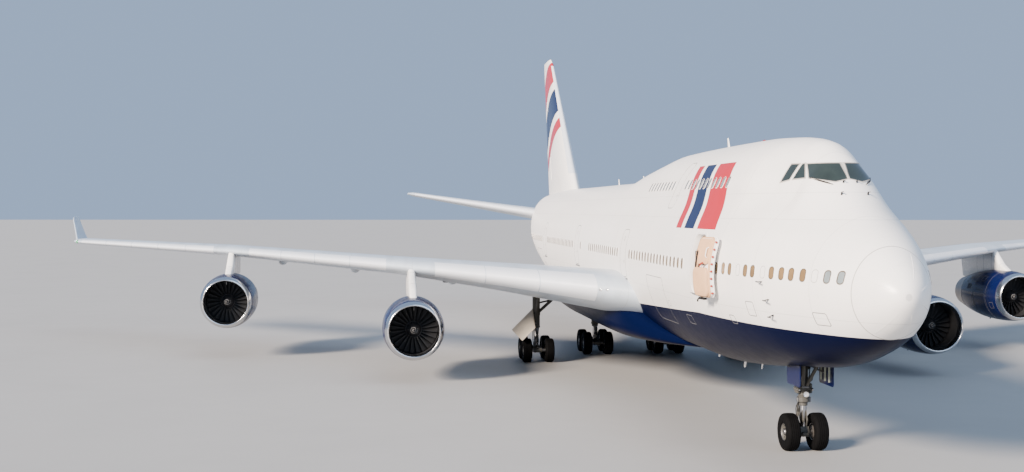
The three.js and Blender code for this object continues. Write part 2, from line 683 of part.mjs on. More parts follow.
addPiece("nose_gear_leg", join(
  rod([0, NOSE.s, NOSE_BAY.roof - SEAM], [0, NOSE.s, NOSE.collar], 0.15, ROUND_SIDES),
  rod([-0.42, NOSE.s, 3.3], [0.42, NOSE.s, 3.3], 0.11),
  rod([0, NOSE.s, 2.0], [0.34, NOSE_BAY.front + 0.25, 3.35], 0.06),
  rod([0, NOSE.s, 2.0], [-0.34, NOSE_BAY.front + 0.25, 3.35], 0.06),
  rod([-0.4, NOSE_BAY.front + 0.25, 3.35], [0.4, NOSE_BAY.front + 0.25, 3.35], 0.06),
  box([-0.24, NOSE.s - 0.2, 1.85], [0.24, NOSE.s + 0.2, 2.15]),
), steel);
addPiece("nose_gear_steering", cut(join(
  rod([0, NOSE.s, NOSE.collar - SEAM], [0, NOSE.s, TYRE_RADIUS - 0.1], 0.11, ROUND_SIDES),
  rod([0, NOSE.s, NOSE.collar - SEAM], [0, NOSE.s, NOSE.collar - 0.16], 0.2, ROUND_SIDES),
  rod([0, NOSE.s, NOSE.collar - 0.1], [0, NOSE.s + 0.42, 1.2], 0.045),
  rod([0, NOSE.s + 0.42, 1.2], [0, NOSE.s, 0.72], 0.045),
  box([-0.17, NOSE.s - 0.16, TYRE_RADIUS - 0.14], [0.17, NOSE.s + 0.16, TYRE_RADIUS + 0.14]),
), axleRoom(noseAxle, 0.3)), steel);
addPiece("nose_wheels", wheelPair(noseAxle, NOSE.halfTrack), rubber);

const NOSE_DOOR = { x: 0.53, front: 6.60, back: 7.80, low: 2.18, high: 3.2, thick: 0.04 };
sides.forEach(([side, word]) => {
  const outline = [[NOSE_DOOR.front, NOSE_DOOR.low], [NOSE_DOOR.back, NOSE_DOOR.low],
    [NOSE_DOOR.back, NOSE_DOOR.high], [NOSE_DOOR.front, NOSE_DOOR.high]];
  const door = solid(plate(outline, side * NOSE_DOOR.x, NOSE_DOOR.thick));
  addPiece(`nose_gear_door_${word}`, cut(door, fuselageTool), navy);
});

// Main gear: two legs under the wings and two under the body, each with a four-wheel truck
const TRUCK = { halfTrack: 0.56, halfBase: 0.735, beam: 0.11, pivot: 0.72 };
const WING_GEAR = { x: 5.5, s: 31.87, radius: 0.19 };
const BODY_GEAR = { x: 1.92, s: 34.94, swivel: 1.55, radius: 0.19 };

// A door on each wing leg: a slanting panel, by its port corners, with two links to heights on the leg
const WING_GEAR_DOOR = {
  thick: 0.05,
  link: 0.05,
  corners: [[5.70, 31.87, 2.64], [6.76, 31.87, 1.58], [6.397, 30.40, 1.173], [5.74, 30.40, 1.83]],
  links: [[[5.81, 31.76, 2.415], 2.42], [[5.83, 30.785, 1.87], 1.92]],
};

function wingGearDoor(side) {
  const onSide = ([x, s, z]) => new THREE.Vector3(side * x, s, z);
  const corners = WING_GEAR_DOOR.corners.map(onSide);
  const edges = [1, 3].map((i) => corners[i].clone().sub(corners[0]));
  const back = edges[0].cross(edges[1]).setLength(side * WING_GEAR_DOOR.thick);
  const front = corners.map((corner) => corner.toArray());
  const rear = corners.map((corner) => corner.add(back).toArray());
  const legX = side * WING_GEAR.x;
  const links = WING_GEAR_DOOR.links.map(([end, height]) => (
    rod(onSide(end).toArray(), [legX, WING_GEAR.s, height], WING_GEAR_DOOR.link)
  ));
  const leg = rod([legX, WING_GEAR.s, 1.7], [legX, WING_GEAR.s, 4.0], WING_GEAR.radius + SEAM, ROUND_SIDES);
  return cut(join(loft([front, rear]), ...links), leg);
}

function truckBeam(x, s) {
  const low = TYRE_RADIUS - TRUCK.beam;
  const high = TYRE_RADIUS + TRUCK.beam;
  const reach = TRUCK.halfBase + 0.13;
  return [
    box([x - 0.1, s - reach, low], [x + 0.1, s + reach, high]),
    box([x - 0.14, s - 0.26, low], [x + 0.14, s + 0.26, high + 0.12]),
  ];
}

const axles = (x, s) => [[x, s - TRUCK.halfBase, TYRE_RADIUS], [x, s + TRUCK.halfBase, TYRE_RADIUS]];

function torqueLinks(x, s, top) {
  return [
    rod([x, s, top], [x, s - 0.4, (top + 0.9) / 2], 0.045),
    rod([x, s - 0.4, (top + 0.9) / 2], [x, s, 0.9], 0.045),
  ];
}

sides.forEach(([side, word]) => {
  const wingX = side * WING_GEAR.x;
  const wingLeg = join(
    ...truckBeam(wingX, WING_GEAR.s),
    rod([wingX, WING_GEAR.s, TYRE_RADIUS + 0.1], [wingX, WING_GEAR.s, 2.0], 0.13, ROUND_SIDES),
    rod([wingX, WING_GEAR.s, 1.7], [wingX, WING_GEAR.s, 4.0], WING_GEAR.radius, ROUND_SIDES),
    rod([wingX, WING_GEAR.s, 2.0], [wingX - side * 1.7, WING_GEAR.s, 3.9], 0.08),
    rod([wingX, WING_GEAR.s, 2.0], [wingX, WING_GEAR.s - 1.7, 4.0], 0.08),
    ...torqueLinks(wingX, WING_GEAR.s, 1.8),
  );
  const roomed = cut(wingLeg, ...axles(wingX, WING_GEAR.s).map((centre) => axleRoom(centre, 0.3)));
  addPiece(`wing_gear_leg_${word}`, cut(roomed, wingTool[side], fairingBody(SEAM), fuselageTool), steel);
  addPiece(`wing_gear_door_${word}`, wingGearDoor(side), grey);

  const bodyX = side * BODY_GEAR.x;
  const bodyLegTop = [bodyX, BODY_GEAR.s, BODY_BAY.roof - SEAM];
  addPiece(`body_gear_leg_${word}`, join(
    rod(bodyLegTop, [bodyX, BODY_GEAR.s, BODY_GEAR.swivel], BODY_GEAR.radius, ROUND_SIDES),
    rod([bodyX, BODY_GEAR.s, 1.9], [bodyX, BODY_BAY.front + 0.2, 2.9], 0.08),
    rod([bodyX - 0.5, BODY_GEAR.s, 2.75], [bodyX + 0.5, BODY_GEAR.s, 2.75], 0.1),
    rod([bodyX - 0.5, BODY_BAY.front + 0.2, 2.9], [bodyX + 0.5, BODY_BAY.front + 0.2, 2.9], 0.07),
  ), steel);
  const truck = join(
    ...truckBeam(bodyX, BODY_GEAR.s),
    rod([bodyX, BODY_GEAR.s, TYRE_RADIUS], [bodyX, BODY_GEAR.s, BODY_GEAR.swivel - SEAM], 0.13, ROUND_SIDES),
    ...torqueLinks(bodyX, BODY_GEAR.s, BODY_GEAR.swivel - 0.1),
  );
  const truckRoomed = cut(truck, ...axles(bodyX, BODY_GEAR.s).map((centre) => axleRoom(centre, 0.3)));
  addPiece(`body_gear_truck_${word}`, truckRoomed, steel);

  [["wing", wingX, WING_GEAR.s], ["body", bodyX, BODY_GEAR.s]].forEach(([gear, x, s]) => {
    axles(x, s).forEach((centre, i) => {
      const place = i === 0 ? "front" : "rear";
      addPiece(`${gear}_gear_wheels_${place}_${word}`, wheelPair(centre, TRUCK.halfTrack), rubber);
    });
  });
});

export default airliner;
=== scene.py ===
# Looks of a half-size model of a four-engine wide body airliner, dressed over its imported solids.
# Sizes are metres of the full-size aircraft: x grows to port, s runs aft from the nose tip, z is up.
# place() turns them into the model's metres as the last step of each piece.
# The camera, the floor and the marks' noise are set in the model's metres.
import json
import math

import bmesh
import bpy
import numpy as np
from mathutils import Matrix, Vector

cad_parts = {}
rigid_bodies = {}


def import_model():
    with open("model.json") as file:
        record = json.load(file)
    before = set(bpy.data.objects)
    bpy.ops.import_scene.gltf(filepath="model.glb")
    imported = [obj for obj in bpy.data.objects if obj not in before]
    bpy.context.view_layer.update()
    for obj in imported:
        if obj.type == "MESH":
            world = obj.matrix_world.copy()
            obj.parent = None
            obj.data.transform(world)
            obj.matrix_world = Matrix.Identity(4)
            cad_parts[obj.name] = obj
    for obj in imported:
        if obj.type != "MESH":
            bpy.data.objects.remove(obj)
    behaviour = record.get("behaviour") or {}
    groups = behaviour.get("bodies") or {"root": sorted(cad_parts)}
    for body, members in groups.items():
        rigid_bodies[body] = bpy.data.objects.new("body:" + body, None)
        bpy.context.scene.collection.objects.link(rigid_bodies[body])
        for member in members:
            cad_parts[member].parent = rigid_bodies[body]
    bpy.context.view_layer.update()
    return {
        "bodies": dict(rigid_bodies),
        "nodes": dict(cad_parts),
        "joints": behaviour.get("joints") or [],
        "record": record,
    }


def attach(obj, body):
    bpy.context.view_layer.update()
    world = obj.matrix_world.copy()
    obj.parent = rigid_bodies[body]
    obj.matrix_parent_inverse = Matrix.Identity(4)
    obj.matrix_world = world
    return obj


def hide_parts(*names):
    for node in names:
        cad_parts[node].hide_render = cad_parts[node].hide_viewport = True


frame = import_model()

MODEL_SCALE = 0.5
LENGTH = 70.66
PORT = 1
STARBOARD = -1
SIDES = ((PORT, "port"), (STARBOARD, "starboard"))
TURN = 2 * math.pi


def place(points):
    """The model's metres of points given in metres of the full-size aircraft."""
    return (np.asarray(points, float) - (0.0, LENGTH / 2, 0.0)) * MODEL_SCALE


def smooth(x, y, at):
    """A curve through points that never overshoots them."""
    x, y = np.asarray(x, float), np.asarray(y, float)
    step = np.diff(x)
    slope = np.diff(y) / step
    before, after = slope[:-1], slope[1:]
    weigh_before = 2 * step[1:] + step[:-1]
    weigh_after = step[1:] + 2 * step[:-1]
    rising = before * after > 0
    harmonic = weigh_before / np.where(rising, before, 1.0) + weigh_after / np.where(rising, after, 1.0)
    inner = np.where(rising, (weigh_before + weigh_after) / np.where(rising, harmonic, 1.0), 0.0)
    tangent = np.concatenate([slope[:1], inner, slope[-1:]])
    i = np.clip(np.searchsorted(x, at, side="right") - 1, 0, len(x) - 2)
    t = (at - x[i]) / step[i]
    value = y[i] * (1 + 2 * t) * (1 - t) ** 2 + y[i + 1] * t**2 * (3 - 2 * t)
    return value + step[i] * (tangent[i] * t * (1 - t) ** 2 - tangent[i + 1] * t**2 * (1 - t))


# Shader nodes
class Field:
    """A number that varies over a surface, put together from shader nodes."""

    def __init__(self, tree, socket):
        self.tree = tree
        self.socket = socket

    def math(self, operation, *others):
        node = self.tree.nodes.new("ShaderNodeMath")
        node.operation = operation
        for i, value in enumerate((self, *others)):
            if isinstance(value, Field):
                self.tree.links.new(value.socket, node.inputs[i])
            else:
                node.inputs[i].default_value = value
        return Field(self.tree, node.outputs[0])

    def __add__(self, other):
        return self.math("ADD", other)

    def __sub__(self, other):
        return self.math("SUBTRACT", other)

    def __mul__(self, other):
        return self.math("MULTIPLY", other)

    def least(self, other):
        return self.math("MINIMUM", other)

    def most(self, other):
        return self.math("MAXIMUM", other)

    def over(self, edge, soft=0.006):
        """0 below the edge and 1 above it."""
        made = (self - edge).math("MULTIPLY_ADD", 1 / soft, 0.5)
        made.socket.node.use_clamp = True
        return made

    def between(self, low, high, soft=0.006):
        return self.over(low, soft) * (self.math("MULTIPLY", -1.0)).over(-high, soft)

    def line_at(self, place_of_line, width):
        distance = (self - place_of_line).math("ABSOLUTE")
        return (distance * -1.0).over(-width / 2)

    def lines_every(self, spacing, width):
        distance = self.math("PINGPONG", spacing / 2)
        return (distance * -1.0).over(-width / 2)


def noise(tree, point, scale, detail=3.0):
    node = tree.nodes.new("ShaderNodeTexNoise")
    node.inputs["Scale"].default_value = scale
    node.inputs["Detail"].default_value = detail
    tree.links.new(point, node.inputs["Vector"])
    return Field(tree, node.outputs[0])


def stretched(tree, point, factors):
    node = tree.nodes.new("ShaderNodeVectorMath")
    node.operation = "MULTIPLY"
    tree.links.new(point, node.inputs[0])
    node.inputs[1].default_value = factors
    return node.outputs[0]


def blend_colours(tree, mask, below, above):
    node = tree.nodes.new("ShaderNodeMix")
    node.data_type = "RGBA"
    colours = [socket for socket in node.inputs if socket.type == "RGBA"]
    for socket, value in zip(colours, (below, above)):
        if isinstance(value, bpy.types.NodeSocket):
            tree.links.new(value, socket)
        else:
            socket.default_value = (*value, 1.0)
    tree.links.new(mask.socket, node.inputs[0])
    return [socket for socket in node.outputs if socket.type == "RGBA"][0]


# How high the noise stands beside the seams, and how much the belly's navy reflects
WAVE = 0.3
BELLY_SHINE = 0.02


def surface(name, colour, roughness, metal=0.0, coat=0.0, grain=2.0, relief=0.1, vary=0.06, marks=None,
            grime=0.08, shine=0.5):
    """A material of a colour that noise varies; marks adds (mask, colour, depth) layers over it."""
    made = bpy.data.materials.new(name)
    made.use_nodes = True
    tree = made.node_tree
    shader = tree.nodes["Principled BSDF"]
    shader.inputs["Metallic"].default_value = metal
    shader.inputs["Coat Weight"].default_value = coat
    shader.inputs["Coat Roughness"].default_value = 0.08
    shader.inputs["Specular IOR Level"].default_value = shine
    where = tree.nodes.new("ShaderNodeTexCoord").outputs["Object"]
    fine = noise(tree, where, grain * 8)
    broad = noise(tree, where, grain)
    dark = tuple(value * (1 - vary) for value in colour)
    light = tuple(min(value * (1 + vary), 1.0) for value in colour)
    painted = blend_colours(tree, broad.between(0.35, 0.65, 0.3), dark, light)
    dirt = tuple(value * 0.55 for value in colour)
    painted = blend_colours(tree, noise(tree, where, grain * 3).over(0.62, 0.3) * grime, painted, dirt)
    height = (fine * 0.2 + broad) * WAVE
    if marks:
        parts = tree.nodes.new("ShaderNodeSeparateXYZ")
        tree.links.new(where, parts.inputs[0])
        x, s, z = (Field(tree, output) * (1 / MODEL_SCALE) for output in parts.outputs)
        for mask, over, depth in marks(x, s + LENGTH / 2, z, tree, where):
            painted = blend_colours(tree, mask, painted, over) if over else painted
            height = height + mask * depth
            # The belly reflects little, or the pale floor would brighten its navy
            if over is BELLY_NAVY_IN_PAINTED_SHADE:
                level = mask.math("MULTIPLY_ADD", BELLY_SHINE - shine, shine)
                tree.links.new(level.socket, shader.inputs["Specular IOR Level"])
    tree.links.new(painted, shader.inputs["Base Color"])
    rough = (fine - 0.5).math("MULTIPLY_ADD", 0.12, roughness)
    tree.links.new(rough.socket, shader.inputs["Roughness"])
    bump = tree.nodes.new("ShaderNodeBump")
    bump.inputs["Strength"].default_value = relief
    bump.inputs["Distance"].default_value = 0.01
    tree.links.new(height.socket, bump.inputs["Height"])
    tree.links.new(bump.outputs[0], shader.inputs["Normal"])
    return made


WHITE = (0.88, 0.86, 0.835)
NAVY = (0.0025, 0.0055, 0.040)
# The belly's navy is darker than the navy of the bars and cowls: painted shade under the belly
BELLY_NAVY_IN_PAINTED_SHADE = (0.0013, 0.0030, 0.020)
RED = (0.40, 0.004, 0.009)
SEAM_GREY = (0.36, 0.36, 0.36)


BELLY_LOW = 3.4
BELLY_RISE = 0.11
TAIL_RISES_AT = 44


def skin_seams(s, z):
    """Ring seams along the fuselage and three runs at fixed heights."""
    rings = s.lines_every(2.54, 0.012)
    runs = z.line_at(7.42, 0.012).most(z.line_at(4.72, 0.012)).most(z.line_at(8.2, 0.01))
    return rings.most(runs)


def rivets(s, z):
    """Dots in rows along the frames."""
    return s.lines_every(0.508, 0.06) * z.lines_every(0.06, 0.025)


def hull_marks(x, s, z, tree, where):
    # The edge of the navy belly falls a little from the nose, runs level, and rises with the tail
    level = s.math("MULTIPLY_ADD", -0.045, 4.71).least(4.26).most(BELLY_LOW)
    line = level.most(s.math("MULTIPLY_ADD", BELLY_RISE, BELLY_LOW - BELLY_RISE * TAIL_RISES_AT))
    belly = (z - line).over(0.0, 0.012).math("MULTIPLY_ADD", -1.0, 1.0)
    # Slanted bars on the flank of the nose
    lean = s - z * 0.55
    tall = z.between(7.05, 9.28)
    red_bars = lean.between(4.55, 6.35).most(lean.between(8.3, 9.0)) * tall
    navy_bar = lean.between(6.75, 7.9) * tall
    streaks = noise(tree, stretched(tree, where, (0.6, 0.12, 2.0)), 1.6).over(0.6, 0.3) * 0.1
    return [
        (streaks, (0.52, 0.50, 0.47), 0.0),
        (skin_seams(s, z) * 0.5, SEAM_GREY, -1.2),
        (rivets(s, z) * 0.05, SEAM_GREY, 0.3),
        (red_bars, RED, 0.0),
        (navy_bar, NAVY, 0.0),
        (belly, BELLY_NAVY_IN_PAINTED_SHADE, 0.0),
    ]


def fin_marks(x, s, z, tree, where):
    level = z + s * 0.42
    seams = level.lines_every(1.9, 0.012).most((s - z * 1.19).lines_every(2.3, 0.012))
    # Bars across the fin and rudder
    red = level.between(43.9, 46.4).most(level.between(38.4, 39.5))
    navy = level.between(40.3, 43.0)
    return [(seams * 0.45, SEAM_GREY, -1.0), (red, RED, 0.0), (navy, NAVY, 0.0)]


def wing_marks(x, s, z, tree, where):
    side = x.math("ABSOLUTE")
    chordwise = (side - 0.3).lines_every(1.45, 0.012)
    along = (s - side * 0.79).lines_every(2.1, 0.012)
    soot = noise(tree, stretched(tree, where, (2.0, 0.15, 1.0)), 2.0).over(0.58, 0.3) * 0.22
    return [(soot, (0.20, 0.20, 0.20), 0.0), (chordwise.most(along) * 0.4, (0.2, 0.21, 0.22), -1.0)]


def liner_marks(x, s, z, tree, where):
    return [(s.lines_every(0.05, 0.02), (0.012, 0.012, 0.013), -0.5)]


PAINT = surface("white gloss paint", WHITE, 0.32, grain=0.8, relief=0.12, vary=0.02, marks=hull_marks,
                grime=0.04)
PLAIN = surface("white paint without livery", WHITE, 0.26, coat=0.4, grain=1.5, relief=0.1, vary=0.03)
FIN_PAINT = surface("fin paint", WHITE, 0.30, coat=0.2, grain=0.8, relief=0.1, vary=0.02, marks=fin_marks,
                    grime=0.04)
# Grey wing paint, tinted blue: partly the paint's own grey, partly painted sky light
WING_PAINT_WITH_PAINTED_SKY_TINT = surface("grey wing paint tinted blue as painted sky light", (0.45, 0.52, 0.60), 0.33, coat=0.15, grain=0.9, relief=0.05,
                     marks=wing_marks)
PANEL_GREY = surface("grey wing panels", (0.41, 0.47, 0.54), 0.36, grain=1.2, relief=0.06)
SLAT = surface("bright leading edge", (0.66, 0.70, 0.76), 0.34, metal=0.1, grain=0.8, relief=0.01,
               vary=0.03, grime=0.02)
NAVY_PAINT = surface("navy cowl paint", NAVY, 0.22, grain=1.0, relief=0.05, vary=0.1, shine=0.18)
LIP = surface("polished lip", (0.60, 0.61, 0.63), 0.2, metal=1.0, grain=3.0, relief=0.04, vary=0.04)
LINER = surface("inlet liner", (0.022, 0.023, 0.025), 0.6, grain=4.0, relief=0.2, marks=liner_marks,
                shine=0.15)
BLADE = surface("fan titanium", (0.020, 0.021, 0.023), 0.45, metal=0.3, shine=0.25, grain=5.0, relief=0.1)
HOT_METAL = surface("exhaust metal", (0.20, 0.17, 0.145), 0.35, metal=0.9, grain=3.0, relief=0.2, vary=0.2)
# Near black: painted shade in holes and deep recesses, and the colour of black fittings
SHADE_AND_BLACK = surface("painted recess shade and black fittings", (0.012, 0.012, 0.013), 0.7, grain=3.0, shine=0.2)
SPINNER = surface("dark spinner", (0.018, 0.018, 0.020), 0.4, grain=4.0, shine=0.2)
SPIRAL_GREY = surface("spiral mark", (0.24, 0.24, 0.235), 0.5, grain=4.0, shine=0.2)
# Gear paint far darker than the gear's own light grey: painted shade of the gear under the aircraft
GEAR_PAINT_IN_PAINTED_SHADE = surface("gear paint darkened as painted shade", (0.062, 0.061, 0.055), 0.42, grain=5.0, relief=0.2, vary=0.1, grime=0.5,
                     shine=0.25)
CHROME = surface("polished strut", (0.42, 0.42, 0.43), 0.14, metal=1.0, grain=6.0, relief=0.03)
# Steel darkened as well: painted shade, the same as the gear paint
STEEL_IN_PAINTED_SHADE = surface("steel darkened as painted shade", (0.16, 0.16, 0.163), 0.38, metal=0.9, grain=6.0, relief=0.2, vary=0.15)
HOSE = surface("black hose", (0.012, 0.012, 0.013), 0.6, grain=9.0, relief=0.2, shine=0.2)
# Tyre rubber darker than its own black: painted shade under the aircraft
RUBBER_IN_PAINTED_SHADE = surface("tyre rubber darkened as painted shade", (0.0035, 0.0035, 0.0038), 0.8, grain=6.0, relief=0.3, vary=0.25, grime=0.2,
                 shine=0.04)
BRAKE = surface("brake pack", (0.07, 0.065, 0.06), 0.6, metal=0.4, grain=8.0, relief=0.3)
GLASS = surface("cabin window glass", (0.17, 0.105, 0.042), 0.18, coat=0.3, grain=3.0, relief=0.02,
                vary=0.25)
# Grey-blue glass: a painted reflection of the sky, on the first two windows and the upper deck
SKY_GLASS = surface("cabin window glass in shade", (0.17, 0.20, 0.21), 0.15, coat=0.5, grain=3.0,
                    relief=0.02, vary=0.25)
WINDOW_SEAL = surface("window seal", (0.075, 0.05, 0.025), 0.5, grain=5.0, shine=0.3)
WINDSCREEN = surface("windscreen glass", (0.014, 0.020, 0.018), 0.06, coat=0.3, grain=1.5, relief=0.02,
                     vary=0.4)
SCREEN_FRAME = surface("windscreen frame", (0.44, 0.42, 0.38), 0.4, grain=5.0)
SEAM_PAINT = surface("seam sealant", (0.42, 0.41, 0.39), 0.5, grain=5.0)
GAP = surface("dark gap", (0.10, 0.10, 0.10), 0.6, grain=5.0)
LINING = surface("cream lining", (0.55, 0.44, 0.33), 0.55, grain=3.0, relief=0.15)
DOOR_LINING = surface("door lining", (0.62, 0.37, 0.20), 0.55, grain=3.0, relief=0.15)
DOOR_RED = surface("red handle", (0.34, 0.03, 0.015), 0.4, grain=6.0)
FLOOR_MAT = surface("cabin floor", (0.14, 0.15, 0.18), 0.8, grain=9.0, relief=0.5)
DOOR_TAN = surface("gear door paint", (0.40, 0.36, 0.30), 0.45, grain=2.0, relief=0.1, vary=0.08, grime=0.3)
PRIMER = surface("bay primer", (0.30, 0.33, 0.27), 0.55, grain=4.0, relief=0.2, vary=0.15, grime=0.4)
RED_LAMP = surface("red lamp", (0.22, 0.01, 0.01), 0.12, coat=0.3, grain=6.0)
GREEN_LAMP = surface("green lamp", (0.01, 0.35, 0.08), 0.12, coat=0.6, grain=6.0)
CLEAR_LAMP = surface("clear lamp", (0.75, 0.77, 0.80), 0.08, metal=0.6, coat=0.8, grain=6.0)


# Meshes
class Shape:
    """Points and faces of a piece, with the number of its material for each face."""

    def __init__(self):
        self.points = []
        self.faces = []
        self.slots = []

    def add(self, points, faces, slots=0):
        start = len(self.points)
        self.points.extend(np.asarray(points, float).reshape(-1, 3).tolist())
        self.faces.extend([start + int(i) for i in face] for face in faces)
        self.slots.extend(np.broadcast_to(slots, len(faces)).tolist())

    def skin(self, rings, slots=0, wrap=True, around=False, ends=()):
        """A skin through rings of points; slots may give one number for each band between rings."""
        rings = np.asarray(rings, float)
        rows, count = rings.shape[:2]
        number = np.arange(rows * count).reshape(rows, count)
        if wrap:
            number = np.hstack([number, number[:, :1]])
        if around:
            number = np.vstack([number, number[:1]])
        corners = [number[:-1, :-1], number[:-1, 1:], number[1:, 1:], number[1:, :-1]]
        faces = np.stack(corners, -1).reshape(-1, 4).tolist()
        across = number.shape[1] - 1
        kinds = np.repeat(np.broadcast_to(slots, number.shape[0] - 1), across).tolist()
        for end in ends:
            faces.append(np.arange(count) + (end % rows) * count)
            kinds.append(kinds[-1] if end else kinds[0])
        self.add(rings, faces, kinds)


def build(name, shape, materials, sharp=32.0):
    mesh = bpy.data.meshes.new(name)
    mesh.from_pydata(place(shape.points).tolist(), [], shape.faces)
    for each in materials:
        mesh.materials.append(each)
    mesh.polygons.foreach_set("material_index", np.asarray(shape.slots, np.int32))
    tidy = bmesh.new()
    tidy.from_mesh(mesh)
    bmesh.ops.remove_doubles(tidy, verts=tidy.verts, dist=2e-5)
    bmesh.ops.recalc_face_normals(tidy, faces=tidy.faces)
    tidy.to_mesh(mesh)
    tidy.free()
    shade(mesh, sharp)
    piece = bpy.data.objects.new(name, mesh)
    bpy.context.scene.collection.objects.link(piece)
    return piece


def shade(mesh, sharp):
    mesh.shade_smooth()
    mesh.set_sharp_from_angle(angle=math.radians(sharp))


def carry(piece, body, stands_for=()):
    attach(piece, body)
    if stands_for:
        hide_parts(*stands_for)
    return piece


def make(name, shape, materials, body="airframe", stands_for=(), sharp=32.0):
    return carry(build(name, shape, materials, sharp), body, stands_for)


def carved(piece, tool, operation, lining):
    """The piece cut by, or kept only inside, a tool; cut faces take the lining."""
    cutter = build("cutter", tool, [lining])
    change = piece.modifiers.new("carve", "BOOLEAN")
    change.operation = operation
    change.solver = "EXACT"
    change.object = cutter
    change.material_mode = "TRANSFER"
    graph = bpy.context.evaluated_depsgraph_get()
    mesh = bpy.data.meshes.new_from_object(piece.evaluated_get(graph))
    piece.modifiers.clear()
    piece.data = mesh
    bpy.data.objects.remove(cutter)
    shade(mesh, 32.0)
    return piece


def copied(piece, name):
    twin = piece.copy()
    twin.data = piece.data.copy()
    twin.name = name
    bpy.context.scene.collection.objects.link(twin)
    return twin


def circle(sides):
    return np.arange(sides) * TURN / sides


def about_axis(centre, radius, turn, along):
    """Points about a line that runs aft through centre."""
    along = np.broadcast_to(along, np.shape(turn))
    return centre + np.column_stack([radius * np.cos(turn), along, radius * np.sin(turn)])


def squared(value, power):
    """A sine or cosine drawn towards a rounded square."""
    return np.sign(value) * np.abs(value) ** power


def axes_across(along):
    along = np.asarray(along, float) / np.linalg.norm(along)
    up = np.array([0.0, 0.0, 1.0]) if abs(along[2]) < 0.9 else np.array([0.0, 1.0, 0.0])
    first = up - along * (up @ along)
    first /= np.linalg.norm(first)
    return along, first, np.cross(along, first)


def turned_rings(profile, centre, axis, sides):
    along, first, second = axes_across(axis)
    angle = circle(sides)
    round_it = np.outer(np.cos(angle), first) + np.outer(np.sin(angle), second)
    return [np.asarray(centre) + distance * along + radius * round_it for distance, radius in profile]


def turned(shape, profile, centre, axis, sides, slots=0, ends=(0, -1), around=False):
    """A body turned about a line through centre; profile holds (distance along the line, radius)."""
    shape.skin(turned_rings(profile, centre, axis, sides), slots, ends=ends, around=around)


def rod(shape, start, end, radius, slot=0, sides=20, chamfer=0.015):
    run = np.subtract(end, start)
    length = np.linalg.norm(run)
    soft = min(chamfer, radius / 3, length / 3)
    profile = [(0, radius - soft), (soft, radius), (length - soft, radius), (length, radius - soft)]
    turned(shape, profile, start, run, sides, slot)


def block(shape, low, high, slot=0, chamfer=0.02):
    (x0, s0, z0), (x1, s1, z1) = low, high
    soft = min(chamfer, (x1 - x0) / 3, (s1 - s0) / 3, (z1 - z0) / 3)
    rings = []
    for z, inset in ((z0, soft), (z0 + soft, 0.0), (z1 - soft, 0.0), (z1, soft)):
        a, b, c, d = x0 + inset, x1 - inset, s0 + inset, s1 - inset
        rings.append([(a + soft, c, z), (b - soft, c, z), (b, c + soft, z), (b, d - soft, z),
                      (b - soft, d, z), (a + soft, d, z), (a, d - soft, z), (a, c + soft, z)])
    shape.skin(rings, slot, ends=(0, -1))


def pipe(shape, points, radius, slot=0, sides=8):
    """A thin pipe along a smooth run through points."""
    points = np.asarray(points, float)
    at = np.linspace(0, len(points) - 1, 8 * (len(points) - 1) + 1)
    path = np.stack([smooth(np.arange(len(points)), points[:, k], at) for k in range(3)], -1)
    ahead = np.gradient(path, axis=0)
    rings = []
    _, first, _ = axes_across(ahead[0])
    for middle, along in zip(path, ahead):
        along = along / np.linalg.norm(along)
        first = first - along * (first @ along)
        first /= np.linalg.norm(first)
        second = np.cross(along, first)
        angle = circle(sides)
        rings.append(middle + radius * (np.outer(np.cos(angle), first) + np.outer(np.sin(angle), second)))
    shape.skin(rings, slot, ends=(0, -1))


def plate(shape, outline, x, width, slot=0):
    """A plate with its outline in the s-z plane."""
    outline = np.asarray(outline, float)
    rings = [np.column_stack([np.full(len(outline), at), outline]) for at in (x - width / 2, x + width / 2)]
    shape.skin(rings, slot, ends=(0, -1))


EDGE_STEP = 0.12


def rounded(width, height, corner, margin=0.0, steps=4):
    """Outline of a rounded rectangle about its middle, grown by margin, with points along its edges."""
    runs = (int(width / EDGE_STEP) + 1, int(height / EDGE_STEP) + 1) * 2
    corner = max(corner + margin, 0.004)
    half = (width / 2 + margin - corner, height / 2 + margin - corner)
    angle = np.linspace(0, math.pi / 2, steps + 1)
    quarters = []
    for turn, (right, up) in enumerate(((1, 1), (-1, 1), (-1, -1), (1, -1))):
        swing = angle + turn * math.pi / 2
        quarters.append(np.column_stack([right * half[0] + corner * np.cos(swing),
                                         up * half[1] + corner * np.sin(swing)]))
    outline = []
    for i, quarter in enumerate(quarters):
        share = np.arange(1, runs[i])[:, None] / runs[i]
        outline += [quarter, quarter[-1] + (quarters[(i + 1) % 4][0] - quarter[-1]) * share]
    return np.concatenate(outline)


def opening(width, height, corner, steps=4):
    """The outline of a rounded rectangle as a function of its margin."""
    return lambda margin: rounded(width, height, corner, margin, steps)


def inlay(shape, outline, where, layers, slots, fill=True):
    """Rings of an outline at (margin, lift) layers laid on a surface, the last one filled."""
    rings = [where(outline(margin), lift) for margin, lift in layers]
    shape.skin(rings, slots[: len(layers) - 1])
    if fill:
        shape.add(rings[-1], [range(len(rings[-1]))], slots[-1])


